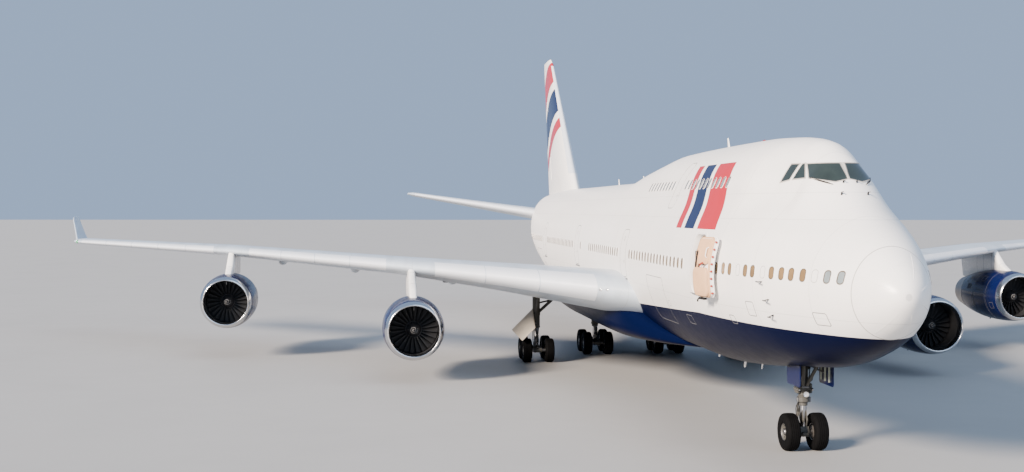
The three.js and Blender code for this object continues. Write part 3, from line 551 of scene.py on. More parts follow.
# Fuselage sections: a round main lobe with a smaller lobe on it for the upper deck
# Columns: s, half width, centre, depth below, height above, top of the hump, its half width and half height
FUSELAGE = np.array([
    (0.00, 0.02, 5.45, 0.02, 0.02, 5.45, 0.01, 0.01),
    (0.15, 0.38, 5.45, 0.41, 0.41, 5.50, 0.20, 0.20),
    (0.50, 0.72, 5.46, 0.80, 0.80, 6.00, 0.40, 0.45),
    (1.12, 1.10, 5.48, 1.23, 1.24, 6.50, 0.64, 0.80),
    (2.20, 1.61, 5.51, 1.76, 1.78, 7.18, 0.98, 1.27),
    (3.30, 2.02, 5.54, 2.14, 2.18, 7.88, 1.19, 1.73),
    (4.10, 2.28, 5.56, 2.38, 2.42, 8.56, 1.37, 2.20),
    (4.65, 2.44, 5.57, 2.50, 2.55, 9.07, 1.44, 2.50),
    (5.10, 2.56, 5.58, 2.58, 2.66, 9.42, 1.36, 2.70),
    (6.00, 2.76, 5.60, 2.70, 2.85, 9.80, 1.49, 2.62),
    (8.00, 3.04, 5.63, 2.97, 3.07, 10.00, 2.05, 2.30),
    (10.50, 3.20, 5.65, 3.26, 3.20, 10.07, 2.17, 2.17),
    (13.50, 3.25, 5.65, 3.45, 3.25, 10.07, 2.20, 2.20),
    (20.00, 3.25, 5.65, 3.47, 3.25, 10.01, 2.20, 2.20),
    (22.00, 3.25, 5.65, 3.47, 3.25, 9.86, 2.18, 2.18),
    (24.00, 3.25, 5.65, 3.47, 3.25, 9.68, 2.14, 2.14),
    (26.00, 3.25, 5.65, 3.47, 3.27, 9.47, 2.08, 2.08),
    (28.00, 3.25, 5.65, 3.47, 3.31, 9.12, 2.00, 2.00),
    (30.00, 3.25, 5.65, 3.47, 3.35, 8.74, 1.92, 1.92),
    (32.00, 3.25, 5.65, 3.47, 3.37, 8.35, 1.86, 1.86),
    (34.00, 3.25, 5.65, 3.47, 3.38, 7.95, 1.80, 1.80),
    (36.00, 3.25, 5.65, 3.47, 3.39, 7.50, 1.80, 1.80),
    (44.00, 3.25, 5.65, 3.47, 3.39, 7.50, 1.80, 1.80),
    (48.00, 3.20, 5.72, 3.25, 3.33, 7.50, 1.70, 1.70),
    (52.00, 3.04, 5.95, 2.85, 3.11, 7.50, 1.50, 1.50),
    (56.00, 2.73, 6.30, 2.40, 2.72, 7.40, 1.20, 1.20),
    (60.00, 2.20, 6.75, 1.90, 2.15, 7.40, 1.00, 1.00),
    (64.00, 1.48, 7.22, 1.36, 1.55, 7.60, 0.70, 0.70),
    (67.00, 0.82, 7.55, 0.84, 0.98, 7.80, 0.40, 0.40),
    (68.63, 0.42, 7.72, 0.50, 0.55, 7.90, 0.20, 0.20),
])
# How sharply the two lobes meet: a high power follows the outer one closely
LOBE_BLEND = 12
RADOME_SEAM = 1.12
SEAM = 0.0008
ROOTS = np.linspace(0.0, math.sqrt(FUSELAGE[-1, 0]), 4000)
HULL_TABLE = [smooth(np.sqrt(FUSELAGE[:, 0]), FUSELAGE[:, k], ROOTS) for k in range(1, 8)]


def hull(s, angle, lift=0.0):
    """Points of the fuselage skin at stations and angles, measured from port and over the top."""
    s, angle = np.broadcast_arrays(np.asarray(s, float), np.asarray(angle, float))
    row = (np.interp(np.sqrt(s), ROOTS, column) for column in HULL_TABLE)
    half, centre, below, above, top, wide, tall = row
    c, n = np.cos(angle), np.sin(angle)
    deep = np.maximum(np.where(n >= 0, above, below), 1e-4)
    main = 1 / np.hypot(c / np.maximum(half, 1e-4), n / deep)
    away = top - centre - tall
    square = (c / wide) ** 2 + (n / tall) ** 2
    along = away * n / tall**2
    root = along**2 - square * ((away / tall) ** 2 - 1)
    hump = np.where((n > 0) & (root > 0), (along + np.sqrt(np.maximum(root, 0))) / square, 0)
    reach = (main**LOBE_BLEND + np.maximum(hump, 0) ** LOBE_BLEND) ** (1 / LOBE_BLEND) + lift
    return np.stack([reach * c, s, centre + reach * n], -1)


def flank(s, z, side, lift=0.0):
    """Points of the skin on one side of the fuselage, at stations and heights."""
    s, z = np.broadcast_arrays(np.asarray(s, float), np.asarray(z, float))
    low, high = np.full(s.shape, -math.pi / 2), np.full(s.shape, math.pi / 2)
    for _ in range(28):
        middle = (low + high) / 2
        over = hull(s, middle)[..., 2] > z
        high = np.where(over, middle, high)
        low = np.where(over, low, middle)
    points = hull(s, (low + high) / 2, lift)
    points[..., 0] *= side
    return points


def on_flank(s, z, side):
    """Lays outlines measured from a place on the flank onto the skin there."""
    return lambda outline, lift: flank(s + outline[:, 0], z + outline[:, 1], side, lift)


around_hull = circle(128)


def hull_rings(stations, lift=0.0):
    return [hull(s, around_hull, lift) for s in stations]


DOORWAY = {"front": 8.86, "back": 9.96, "sill": 4.92, "head": 6.90, "corner": 0.25}
NICHE_BACK = -1.5
OUTSIDE_SKIN = -4.2
BELOW_BELLY = 1.0
DOOR_WIDE = DOORWAY["back"] - DOORWAY["front"]
DOOR_TALL = DOORWAY["head"] - DOORWAY["sill"]
DOOR_MIDDLE = (DOORWAY["sill"] + DOORWAY["head"]) / 2
NOSE_BAY = {"half": 0.50, "front": 6.50, "back": 8.30, "roof": 3.90}
BODY_BAY = {"inner": 1.30, "outer": 2.60, "front": 33.70, "back": 36.20, "roof": 3.10}


def box_shape(low, high):
    made = Shape()
    corners = ((low[0], low[1]), (high[0], low[1]), (high[0], high[1]), (low[0], high[1]))
    made.skin([[(*corner, z) for corner in corners] for z in (low[2], high[2])], ends=(0, -1))
    return made


def door_tool():
    made = Shape()
    middle = (DOORWAY["front"] + DOORWAY["back"]) / 2
    outline = rounded(DOOR_WIDE, DOOR_TALL, DOORWAY["corner"]) + (middle, DOOR_MIDDLE)
    plate(made, outline, (NICHE_BACK + OUTSIDE_SKIN) / 2, NICHE_BACK - OUTSIDE_SKIN)
    return made


def body_bay_tool(side):
    inner, outer = sorted((side * BODY_BAY["inner"], side * BODY_BAY["outer"]))
    return box_shape((inner, BODY_BAY["front"], BELOW_BELLY), (outer, BODY_BAY["back"], BODY_BAY["roof"]))


def nose_bay_tool():
    half = NOSE_BAY["half"]
    return box_shape((-half, NOSE_BAY["front"], BELOW_BELLY), (half, NOSE_BAY["back"], NOSE_BAY["roof"]))


def fuselage():
    """Radome with its seam and lightning strips, then the rest of the skin with its openings cut."""
    radome = Shape()
    radome.skin(hull_rings(np.linspace(0, math.sqrt(RADOME_SEAM), 40) ** 2), ends=(0, -1))
    make("nose_radome_skin", radome, [PAINT], stands_for=["nose_radome"])
    seam = Shape()
    band = ((-0.016, -0.004), (-0.012, 0.003), (0.012, 0.003), (0.016, -0.004))
    seam.skin([hull(RADOME_SEAM + across, around_hull, lift) for across, lift in band])
    for degrees in range(20, 380, 45):
        run = [hull(s, math.radians(degrees), 0.002) for s in np.linspace(0.22, 1.0, 6)]
        pipe(seam, run, 0.006, 1, 6)
    make("radome_seam", seam, [SEAM_PAINT, PLAIN])
    stations = np.linspace(math.sqrt(RADOME_SEAM + SEAM), math.sqrt(FUSELAGE[-1, 0]), 300) ** 2
    rings = hull_rings(stations)
    tail = rings[-1]
    pipe_end = tail.mean(0) + (tail - tail.mean(0)) * 0.86
    rings += [pipe_end, pipe_end - (0.0, 0.7, 0.0)]
    body = Shape()
    body.skin(rings, [0] * len(stations) + [1], ends=(0, -1))
    rod(body, (0, 9.4, 3.0), (0, 9.4, 2.46), 0.14, 0)
    hullpiece = build("fuselage_skin", body, [PAINT, HOT_METAL])
    carved(hullpiece, door_tool(), "DIFFERENCE", LINING)
    carved(hullpiece, nose_bay_tool(), "DIFFERENCE", PRIMER)
    for side, _ in SIDES:
        carved(hullpiece, body_bay_tool(side), "DIFFERENCE", PRIMER)
    carry(hullpiece, "airframe", ["fuselage"])


# Cabin windows, doors and other fittings on the skin
WINDOW_PITCH = 0.508
MAIN_DECK = 5.86
UPPER_DECK = 8.60
DOORS = ((9.41, MAIN_DECK), (20.90, MAIN_DECK), (33.10, MAIN_DECK), (45.30, MAIN_DECK),
         (57.00, MAIN_DECK + 0.1))
UPPER_DOOR = 15.45
CARGO_STATIONS = (15.2, 48.3)
CARGO_DOOR = (2.64, 1.68)
# Columns: s, height, and the size of each hatch
HATCHES = (
    (2.3, 4.7, 0.5, 0.34),
    (5.4, 4.75, 0.42, 0.42),
    (11.4, 3.9, 0.6, 0.3),
    (6.9, 4.3, 0.34, 0.26),
    (50.5, 4.6, 0.5, 0.4),
    (58.9, 6.3, 0.4, 0.5),
    (63.2, 7.1, 0.7, 0.35),
)
PLUGGED = (2.37, 4.58, 5.94)
FRONT_WINDOWS = (1.48, 1.92, 2.37, 2.81, 3.28, 3.70, 4.15, 4.58, 5.09, 5.49, 5.94, 6.47, 6.92)
# Windows whose glass has the painted sky reflection
WINDOWS_WITH_PAINTED_SKY = (1.48, 1.92)
FIRST_WINDOW, LAST_WINDOW = 10.9, 60.0
DOOR_CLEAR = 0.95
BLIND_RUN = (29.6, 31.4)
UPPER_RUN = (9.3, 20.9)
UPPER_DOOR_CLEAR = 0.8
WINDOW = (0.21, 0.34)
UPPER_WINDOW = (0.20, 0.32)
# Layers are (margin, lift) of the rings of an inlay, from outside inwards
WINDOW_LAYERS = ((0.034, -0.01), (0.028, 0.009), (0.016, 0.010), (0.012, 0.007), (-0.014, 0.007),
                 (-0.05, 0.007))
PLUG_LAYERS = ((0.014, -0.004), (0.012, 0.004), (-0.004, 0.004), (-0.006, -0.004))
HANDLE_LAYERS = ((0.01, -0.004), (0.008, 0.003), (0.0, 0.003), (-0.004, -0.01))
SEAM_LAYERS = ((0.012, -0.004), (0.01, 0.002), (-0.01, 0.002), (-0.012, -0.004))


def window_stations():
    """Stations of the main deck windows aft of the front ones, with none across a door."""
    stations = np.arange(FIRST_WINDOW, LAST_WINDOW, WINDOW_PITCH)
    clear = [s for s in stations if all(abs(s - door) > DOOR_CLEAR for door, _ in DOORS)]
    return [s for s in clear if not BLIND_RUN[0] < s < BLIND_RUN[1]]


def cabin_windows(side, word):
    """Windows of both decks on one side; pane is the slot of the glass, or 0 for a plug."""
    made = Shape()

    def window(s, z, size, pane):
        outline = opening(*size, size[0] * 0.42)
        if pane:
            inlay(made, outline, on_flank(s, z, side), WINDOW_LAYERS, [0, 0, 1, 1, pane, pane])
        else:
            inlay(made, outline, on_flank(s, z, side), PLUG_LAYERS, [4, 4, 4], fill=False)

    for s in FRONT_WINDOWS:
        pane = 0 if s in PLUGGED else 3 if s in WINDOWS_WITH_PAINTED_SKY else 2
        window(s, MAIN_DECK + 0.02, WINDOW, pane)
    for s in (7.43, 7.94, *window_stations()):
        window(s, MAIN_DECK, WINDOW, 2)
    for s in np.arange(*UPPER_RUN, WINDOW_PITCH):
        if abs(s - UPPER_DOOR) > UPPER_DOOR_CLEAR:
            window(s, UPPER_DECK, UPPER_WINDOW, 3)
    make(f"cabin_windows_{word}", made, [PLAIN, WINDOW_SEAL, GLASS, SKY_GLASS, SEAM_PAINT])


def skin_doors(side, word):
    """Outlines, little windows and handles of the closed doors, hatches and service panels."""
    made = Shape()

    def outlined(s, z, width, height, corner):
        outline = opening(width, height, corner, 6)
        inlay(made, outline, on_flank(s, z, side), SEAM_LAYERS, [0, 0, 0], fill=False)

    def handle(s, z, width=0.20, height=0.07):
        outline = opening(width, height, height * 0.45)
        inlay(made, outline, on_flank(s, z, side), HANDLE_LAYERS, [1, 1, 1, 0])

    for i, (s, z) in enumerate(DOORS):
        if i == 0 and side == STARBOARD:
            continue
        outlined(s, z, DOOR_WIDE, DOOR_TALL, 0.24)
        handle(s - 0.3, z - 0.35)
        handle(s, z + 0.62, 0.14, 0.2)
        inlay(made, opening(DOOR_WIDE, 0.07, 0.03), on_flank(s, z - DOOR_TALL / 2 - 0.08, side),
              ((0.0, -0.004), (0.0, 0.012), (-0.01, 0.02)), [1, 1, 1])
    outlined(UPPER_DOOR, UPPER_DECK, 0.9, 1.7, 0.22)
    handle(UPPER_DOOR - 0.2, UPPER_DECK - 0.4)
    for s, z, width, height in HATCHES:
        outlined(s, z, width, height, 0.05)
    if side == STARBOARD:
        width, height = CARGO_DOOR
        for s in CARGO_STATIONS:
            outlined(s, 4.35, width, height, 0.14)
            handle(s - width / 2 - 0.35, 4.3, 0.3, 0.2)
        outlined(52.3, 4.75, 1.15, 1.1, 0.12)
    make(f"skin_doors_{word}", made, [GAP, STEEL_IN_PAINTED_SHADE])


def ahead(x, z):
    """Points of the skin seen from ahead, at distances from the middle and heights."""
    x, z = np.asarray(x, float), np.asarray(z, float)
    low, high = np.full(x.shape, 2.0), np.full(x.shape, 9.0)
    for _ in range(30):
        middle = (low + high) / 2
        centre = np.interp(np.sqrt(middle), ROOTS, HULL_TABLE[1])
        skin = hull(middle, np.arctan2(z - centre, x))
        inside = np.hypot(skin[..., 0], skin[..., 2] - centre) > np.hypot(x, z - centre)
        low, high = np.where(inside, low, middle), np.where(inside, middle, high)
    return np.stack([x, low, z], -1)


def onto_skin(points, way, lift):
    """Points moved along one direction onto the skin of the nose, and then off it by a lift."""
    low, high = np.full(len(points), -0.8), np.full(len(points), 0.8)
    for _ in range(26):
        middle = (low + high) / 2
        x, s, z = (points + middle[:, None] * way).T
        centre = np.interp(np.sqrt(s), ROOTS, HULL_TABLE[1])
        skin = hull(s, np.arctan2(z - centre, x))
        inside = np.hypot(skin[:, 0], skin[:, 2] - centre) > np.hypot(x, z - centre)
        low, high = np.where(inside, middle, low), np.where(inside, high, middle)
    return points + (low[:, None] + lift) * way


def cornered(corners, margin, corner=0.03):
    """Outline with straight edges through corners, grown by a margin and a little rounded."""
    count = len(corners)
    along = np.roll(corners, -1, 0) - corners
    along /= np.linalg.norm(along, axis=1)[:, None]
    out = np.column_stack([along[:, 1], -along[:, 0]])
    if np.sum(out * (corners - corners.mean(0))) < 0:
        out = -out
    grown = []
    for i in range(count):
        sides = np.array([out[i - 1], out[i]])
        grown.append(np.linalg.solve(sides, (sides * corners[i]).sum(1) + margin))
    outline = []
    for i in range(count):
        start, end = grown[i] - along[i - 1] * corner, grown[i] + along[i] * corner
        for share in np.linspace(0, 1, 5):
            outline.append((1 - share) ** 2 * start + 2 * share * (1 - share) * grown[i] + share**2 * end)
        stop = grown[(i + 1) % count] - along[i] * corner
        outline.extend(end + (stop - end) * share for share in np.linspace(0, 1, 9)[1:-1])
    return np.array(outline)


# Windscreen: corners of each pane seen from ahead, as (distance from the middle, height)
# Layers of its frame and glass are (margin, share of the pane's size, lift)
PANES = (
    ((0.060, 9.075), (0.790, 9.080), (0.915, 8.650), (0.370, 8.535), (0.075, 8.548)),
    ((0.835, 9.075), (0.880, 9.064), (1.150, 8.620), (0.965, 8.648)),
    ((0.930, 9.066), (1.050, 9.072), (1.350, 8.540), (1.208, 8.607)),
)
PANE_FRAME = ((0.045, 1.0, -0.02), (0.04, 1.0, 0.014), (0.014, 1.0, 0.018), (0.008, 1.0, 0.012),
              (-0.004, 1.0, 0.012), (-0.010, 1.0, 0.010))
PANE_GLASS = tuple((0.0, share, 0.010) for share in (0.88, 0.76, 0.63, 0.5, 0.37, 0.24, 0.11, 0.02))


def windscreen():
    """Three panes on each side of the nose, set into the skin."""
    made = Shape()
    for side, _ in SIDES:
        for pane in PANES:
            corners = ahead(*np.transpose(pane))
            middle = corners.mean(0)
            way = np.cross(corners[2] - corners[0], corners[3] - corners[1])
            way *= -np.sign(way[1]) / np.linalg.norm(way)
            across = corners[1] - corners[0]
            across -= way * (across @ way)
            across /= np.linalg.norm(across)
            frame = np.array([across, np.cross(way, across)])
            drawn = (corners - middle) @ frame.T
            level = way * (1, 1, 0) / np.hypot(way[0], way[1])
            rings = []
            for margin, share, lift in PANE_FRAME + PANE_GLASS:
                spread = middle + cornered(drawn, margin) * share @ frame
                rings.append(onto_skin(spread, level, lift) * (side, 1, 1))
            made.skin(rings, [0, 0, 0, 1, 1] + [2] * len(PANE_GLASS), ends=(-1,))
    make("windscreen", made, [SCREEN_FRAME, GAP, WINDSCREEN])


# Wipers run through these points, and probes stand on them: distance from the middle, height, and length
WIPER_ARM = ((0.50, 8.425), (0.72, 8.505), (0.93, 8.615))
WIPER_BLADE = ((0.56, 8.455), (0.74, 8.530), (0.90, 8.625))
SMALL_PROBES = ((0.20, 8.490, 0.05), (0.39, 8.135, 0.07))


def wipers_and_probes():
    """Wipers and probes round the windscreen, and the air data probes on both flanks of the nose."""
    made = Shape()
    for side, _ in SIDES:
        arm = ahead(*np.transpose(WIPER_ARM)) + (0, -0.035, 0.01)
        pipe(made, arm * (side, 1, 1), 0.012)
        blade = ahead(*np.transpose(WIPER_BLADE)) + (0, -0.02, 0.02)
        pipe(made, blade * (side, 1, 1), 0.010)
        for x, z, height in SMALL_PROBES:
            foot = ahead(x, z) * (side, 1, 1)
            rod(made, foot - (0, 0, 0.03), foot + (0, -height * 0.4, height), 0.026, 0, 12)
            rod(made, foot + (0, -height * 0.4, height), foot + (0, -height - 0.09, height), 0.016, 1, 12)
    for side, _ in SIDES:
        for s, z in ((4.61, 5.60), (4.34, 5.10), (4.31, 4.65)):
            foot = flank(s, z, side, -0.02)
            head = flank(s, z, side, 0.15)
            block_between(made, foot, head, 0.11, 0.03)
            rod(made, head + (0, 0.05, 0), head - (0, 0.22, 0), 0.02, 1, 12)
    make("probes_and_wipers", made, [HOSE, STEEL_IN_PAINTED_SHADE])


def block_between(shape, foot, head, length, width, slot=0):
    """A small streamlined strut from foot to head, long in s."""
    rings = []
    for point, share in ((foot, 1.0), (head, 0.7)):
        turn = circle(12)
        ring = np.column_stack([np.zeros(12), np.cos(turn) * length * share / 2, np.zeros(12)])
        across = np.cross(np.subtract(head, foot), (0, 1, 0))
        across = across / np.linalg.norm(across)
        rings.append(point + ring + np.outer(np.sin(turn) * width * share / 2, across))
    shape.skin(rings, slot, ends=(0, -1))


def blade_antenna(shape, s, z, height, chord, sweep, slot=0, side=0.0):
    """A thin swept blade on the roof (height above 0) or under the belly."""
    turn = circle(16)
    rings = []
    for share, shrink in ((-0.1, 1.0), (0.0, 1.0), (0.9, 0.62), (1.0, 0.45)):
        across = side + np.sin(turn) * 0.025 * shrink
        along = s + sweep * share + np.cos(turn) * chord / 2 * shrink
        rings.append(np.column_stack([across, along, np.full(16, z + height * share)]))
    shape.skin(rings, slot, ends=(0, -1))


def lamp_dome(shape, centre, direction, radius, slot):
    profile = [(-0.03, radius * 1.15), (0.0, radius * 1.15), (0.01, radius), (radius * 0.5, radius * 0.85),
               (radius * 0.8, radius * 0.5), (radius * 0.9, 0.01)]
    turned(shape, profile, centre, direction, 20, [0, 0, slot, slot, slot])


def antennas():
    """Blades along the roof and belly, and the two red beacons."""
    made = Shape()
    for s, height in ((16.3, 0.40), (31.5, 0.35), (38.0, 0.35)):
        top = hull(s, math.pi / 2)[2]
        blade_antenna(made, s, top, height, 0.26, 0.16)
    for s, height in ((14.0, -0.34), (17.4, -0.34), (45.6, -0.3), (48.5, -0.3)):
        blade_antenna(made, s, hull(s, -math.pi / 2)[2], height, 0.36, 0.14)
    for s in (50.0, 12.0):
        blade_antenna(made, s, hull(s, -math.pi / 2)[2], -0.22, 0.14, 0.1)
    lamp_dome(made, hull(11.9, math.pi / 2, -0.01), (0, 0, 1), 0.09, 1)
    lamp_dome(made, hull(16.0, -math.pi / 2, -0.01), (0, 0, -1), 0.09, 1)
    make("antennas_and_beacons", made, [PLAIN, RED_LAMP])


def doorway_trim():
    """The frame round the open doorway, its sill, floor and the galley front inside."""
    made = Shape()
    middle = (DOORWAY["front"] + DOORWAY["back"]) / 2
    front, back = DOORWAY["front"], DOORWAY["back"]
    outline = opening(DOOR_WIDE, DOOR_TALL, DOORWAY["corner"], 8)
    inlay(made, outline, on_flank(middle, DOOR_MIDDLE, STARBOARD),
          ((0.05, -0.004), (0.045, 0.012), (-0.02, 0.012), (-0.03, -0.05), (-0.03, -0.16)), [0, 0, 0, 0],
          fill=False)
    block(made, (-3.17, front + 0.05, 4.915), (-2.6, back - 0.05, 4.935), 1, 0.005)
    block(made, (-2.6, front + 0.03, 4.915), (NICHE_BACK, back - 0.03, 4.93), 2, 0.005)
    for row in range(4):
        for column in range(3):
            s0 = front + 0.08 + column * 0.32
            z0 = 5.0 + row * 0.46
            block(made, (NICHE_BACK - 0.03, s0, z0), (NICHE_BACK + 0.01, s0 + 0.29, z0 + 0.43), 3, 0.012)
            latch = np.array([NICHE_BACK - 0.05, s0, z0 + 0.36])
            rod(made, latch + (0, 0.1, 0), latch + (0, 0.2, 0), 0.012, 1, 8)
    make("doorway_frame", made, [PLAIN, STEEL_IN_PAINTED_SHADE, FLOOR_MAT, LINING])


DOOR_OPEN = {"front": 7.27, "back": 8.31, "sill": 4.95, "head": 6.77, "near": 0.14, "far": 0.31}
DOOR_EDGE = np.array([-3.07, 7.26, 0.0])
DOOR_LEAN = math.radians(6.0)


def swung(points):
    """Leans points of the open door off the skin, about its forward edge."""
    c, n = math.cos(DOOR_LEAN), math.sin(DOOR_LEAN)
    turn = np.array([[c, -n, 0], [n, c, 0], [0, 0, 1]])
    return (np.asarray(points) - DOOR_EDGE) @ turn.T + DOOR_EDGE


def open_door():
    """The open door: painted skin towards the fuselage, padded lining, slide pack and handle outboard."""
    made = Shape()
    front, back, low, high = (DOOR_OPEN[edge] for edge in ("front", "back", "sill", "head"))
    near, far = DOOR_OPEN["near"], DOOR_OPEN["far"]
    middle = (near + far) / 2
    s = (front + back) / 2
    wide = back - front
    where = on_flank(s, (low + high) / 2, STARBOARD)
    outline = opening(wide, high - low, 0.24, 8)
    layers = ((-0.12, near), (0.0, near), (0.0, near + 0.035), (-0.03, near + 0.04), (-0.03, far - 0.05),
              (-0.05, far - 0.01), (-0.09, far))
    rings = [where(outline(margin), lift) for margin, lift in layers]
    made.skin(rings, [0, 0, 0, 0, 1, 1], ends=(0, -1))
    slide_pack = ((0.02, -0.02), (0.02, 0.04), (0.0, 0.07), (-0.05, 0.085), (-0.16, 0.09))
    upper_panel = ((0.0, -0.02), (0.0, 0.012), (-0.02, 0.02), (-0.06, 0.022))
    slot_in_lining = ((0.030, 0), (0.026, 0.034), (0.004, 0.036), (0.0, 0.032))
    for shape, at, z, padding, slots in (
        (opening(wide - 0.16, 0.78, 0.16, 6), s, low + 0.49, slide_pack, [1, 1, 1, 1, 1]),
        (opening(wide - 0.18, 0.72, 0.14, 6), s, high - 0.46, upper_panel, [1, 1, 1, 1]),
        (opening(0.13, 0.50, 0.06, 6), back - 0.20, low + 1.12, slot_in_lining, [1, 1, 3, 3]),
    ):
        lifted = [(margin, far + lift) for margin, lift in padding]
        inlay(made, shape, on_flank(at, z, STARBOARD), lifted, slots)
    hub = flank(s - 0.02, low + 0.95, STARBOARD, far)
    rod(made, hub, hub - (0.06, 0, 0), 0.05, 0, 16)
    pipe(made, [hub - (0.05, 0, 0), hub - (0.07, 0.10, -0.07), hub - (0.06, 0.22, -0.1)], 0.026, 4, 10)
    handrail = ((6.13, 0.0), (6.18, 0.06), (6.38, 0.06), (6.43, 0.0))
    pipe(made, [flank(s - 0.3, z, STARBOARD, far + reach) for z, reach in handrail], 0.016, 0, 8)
    for z in np.linspace(low + 0.17, high - 0.17, 8):
        edge = flank(front + 0.03, z, STARBOARD, middle)
        rod(made, edge + (0, 0.03, 0), edge - (0, 0.035, 0), 0.038, 4, 14)
        stop = flank(back - 0.03, z, STARBOARD, middle)
        rod(made, stop - (0, 0.03, 0), stop + (0, 0.03, 0), 0.03, 0, 14)
    foot = flank(back - 0.3, low - 0.02, STARBOARD, middle)
    block(made, foot - (0.07, 0.24, 0.04), foot + (0.05, 0.24, 0.03), 3, 0.015)
    hook = [foot + (-0.04, 0.2, 0), foot + (-0.05, 0.3, -0.05), foot + (-0.04, 0.36, -0.12)]
    pipe(made, hook, 0.025, 3, 10)
    made.points = swung(made.points).tolist()
    root = DOORWAY["front"] - 0.03
    for z in (5.35, 6.35):
        tip = swung(flank(back - 0.06, z, STARBOARD, middle))
        pipe(made, [flank(root, z, STARBOARD, -0.12), flank(root - 0.03, z, STARBOARD, 0.06),
                    tip + (0.01, 0.22, 0), tip], 0.045, 2, 12)
    post = swung(flank(back - 0.02, 5.85, STARBOARD, middle))
    block(made, post - (0.05, 0.06, 0.55), post + (0.05, 0.03, 0.52), 2, 0.02)
    make("forward_door_open", made, [PLAIN, DOOR_LINING, STEEL_IN_PAINTED_SHADE, SHADE_AND_BLACK, DOOR_RED],
         stands_for=["forward_door_starboard"])


# Lifting surfaces
# Columns: span, leading edge, trailing edge, height, incidence in degrees, thickness as a share of chord
WING = np.array([
    (2.40, 19.15, 34.07, 4.17, 2.4, 0.134),
    (3.25, 19.90, 34.30, 4.25, 2.4, 0.130),
    (7.80, 23.93, 35.54, 4.64, 1.8, 0.112),
    (12.40, 28.00, 36.80, 4.98, 1.2, 0.098),
    (21.18, 35.77, 42.32, 5.46, 0.6, 0.090),
    (31.00, 44.46, 48.50, 5.75, -0.4, 0.080),
    (31.40, 45.10, 48.75, 5.76, -0.4, 0.050),
])
STABILISER = np.array([
    (0.60, 57.60, 66.20, 7.16, 0, 0.110),
    (1.80, 58.70, 66.75, 7.36, 0, 0.105),
    (10.70, 66.95, 70.40, 8.86, 0, 0.090),
    (11.08, 67.80, 70.66, 8.92, 0, 0.050),
])
FIN = np.array([
    (8.00, 50.90, 65.40, 0, 0, 0.060),
    (9.00, 52.60, 65.90, 0, 0, 0.075),
    (10.10, 54.10, 66.25, 0, 0, 0.092),
    (18.90, 64.60, 69.15, 0, 0, 0.090),
    (19.41, 65.60, 69.20, 0, 0, 0.050),
])
WINGLET = np.array([
    (5.78, 45.95, 48.75, 31.42, 0, 0.09),
    (6.10, 46.60, 48.95, 31.62, 0, 0.09),
    (7.20, 48.10, 49.55, 32.17, 0, 0.09),
])
BLUNT_EDGE = 0.004
# Factors of the section's formula, for the root of the share and for its powers
SECTION_ROOT = 0.2969
SECTION_POWERS = ((1, -0.126), (2, -0.3516), (3, 0.2843), (4, -0.1015))
SHARES = (1 + np.cos(np.linspace(0, math.pi, 41))) / 2


def half_thickness(share, ratio):
    """Half the thickness of a standard four-digit section, with a blunt trailing edge."""
    series = SECTION_ROOT * np.sqrt(share)
    for power, factor in SECTION_POWERS:
        series = series + factor * share**power
    return 5 * ratio * series + BLUNT_EDGE * share


def foil(table, where, span, share, face, lift=0.0):
    """Points of a lifting surface; face is 1 above, -1 below and 0 on the middle line."""
    span, share, face = np.broadcast_arrays(*(np.asarray(v, float) for v in (span, share, face)))
    lead, trail, height, incidence, ratio = (np.interp(span, table[:, 0], table[:, k]) for k in range(1, 6))
    chord = trail - lead
    out = height - share * chord * np.tan(np.radians(incidence))
    out = out + face * (half_thickness(share, ratio) * chord + lift)
    return where(span, lead + share * chord, out)


def flat(side):
    return lambda span, s, height: np.stack([side * span, s, height], -1)


def upright(span, s, height):
    return np.stack([height, s, span], -1)


def leaning(side):
    return lambda span, s, height: np.stack([side * height, s, span], -1)


def foil_body(table, where, sections=48):
    spans = np.unique(np.concatenate([table[:, 0], np.linspace(table[0, 0], table[-1, 0], sections)]))
    shares = np.concatenate([SHARES, SHARES[::-1][1:]])
    faces = np.concatenate([np.ones(len(SHARES) - 1), [0], -np.ones(len(SHARES) - 1)])
    made = Shape()
    made.skin([foil(table, where, span, shares, faces) for span in spans], ends=(0, -1))
    return made


# Gaps ahead of and beside a moving surface, and how far its tools reach past the skin
COVE_GAP = 0.03
END_GAP = 0.045
BEHIND = 4.0
OVER = 2.0
BURIED = -0.02


def nose_outline(deep):
    angle = np.linspace(0, math.pi, 13)
    nose = np.column_stack([-deep * np.sin(angle), deep * np.cos(angle)])
    return np.concatenate([[(BEHIND, -OVER), (BEHIND, OVER), (0, OVER)], nose, [(0, -OVER)]])


def cove_outline(deep):
    front = -deep - COVE_GAP
    return np.array([(front, -OVER), (BEHIND, -OVER), (BEHIND, OVER), (front, OVER)])


def hinge_tool(table, where, up, inner, outer, share, outline, end_gap):
    """A tool along a hinge line, with an outline for the surface's thickness at each end."""
    start, end = (foil(table, where, span, share, 0) for span in (inner, outer))
    along = (end - start) / np.linalg.norm(end - start)
    aft = np.cross(along, up)
    aft /= np.linalg.norm(aft)
    aft = -aft if aft[1] < 0 else aft
    normal = np.cross(along, aft)
    made = Shape()
    rings = []
    for point, span, reach in ((start, inner, -end_gap), (end, outer, end_gap)):
        deep = np.linalg.norm(foil(table, where, span, share, 1) - foil(table, where, span, share, 0))
        rings.append([point + along * reach + v * aft + w * normal for v, w in outline(deep)])
    made.skin(rings, ends=(0, -1))
    return made


def split_off(body, name, hinge, material):
    """Takes a moving surface out of a body's trailing edge."""
    moving = copied(body, name)
    carved(moving, hinge_tool(*hinge, nose_outline, 0.0), "INTERSECT", material)
    carved(body, hinge_tool(*hinge, cove_outline, END_GAP), "DIFFERENCE", material)
    return moving


RIM_WIDTH = 0.022
RIM_SHARE = 0.0028


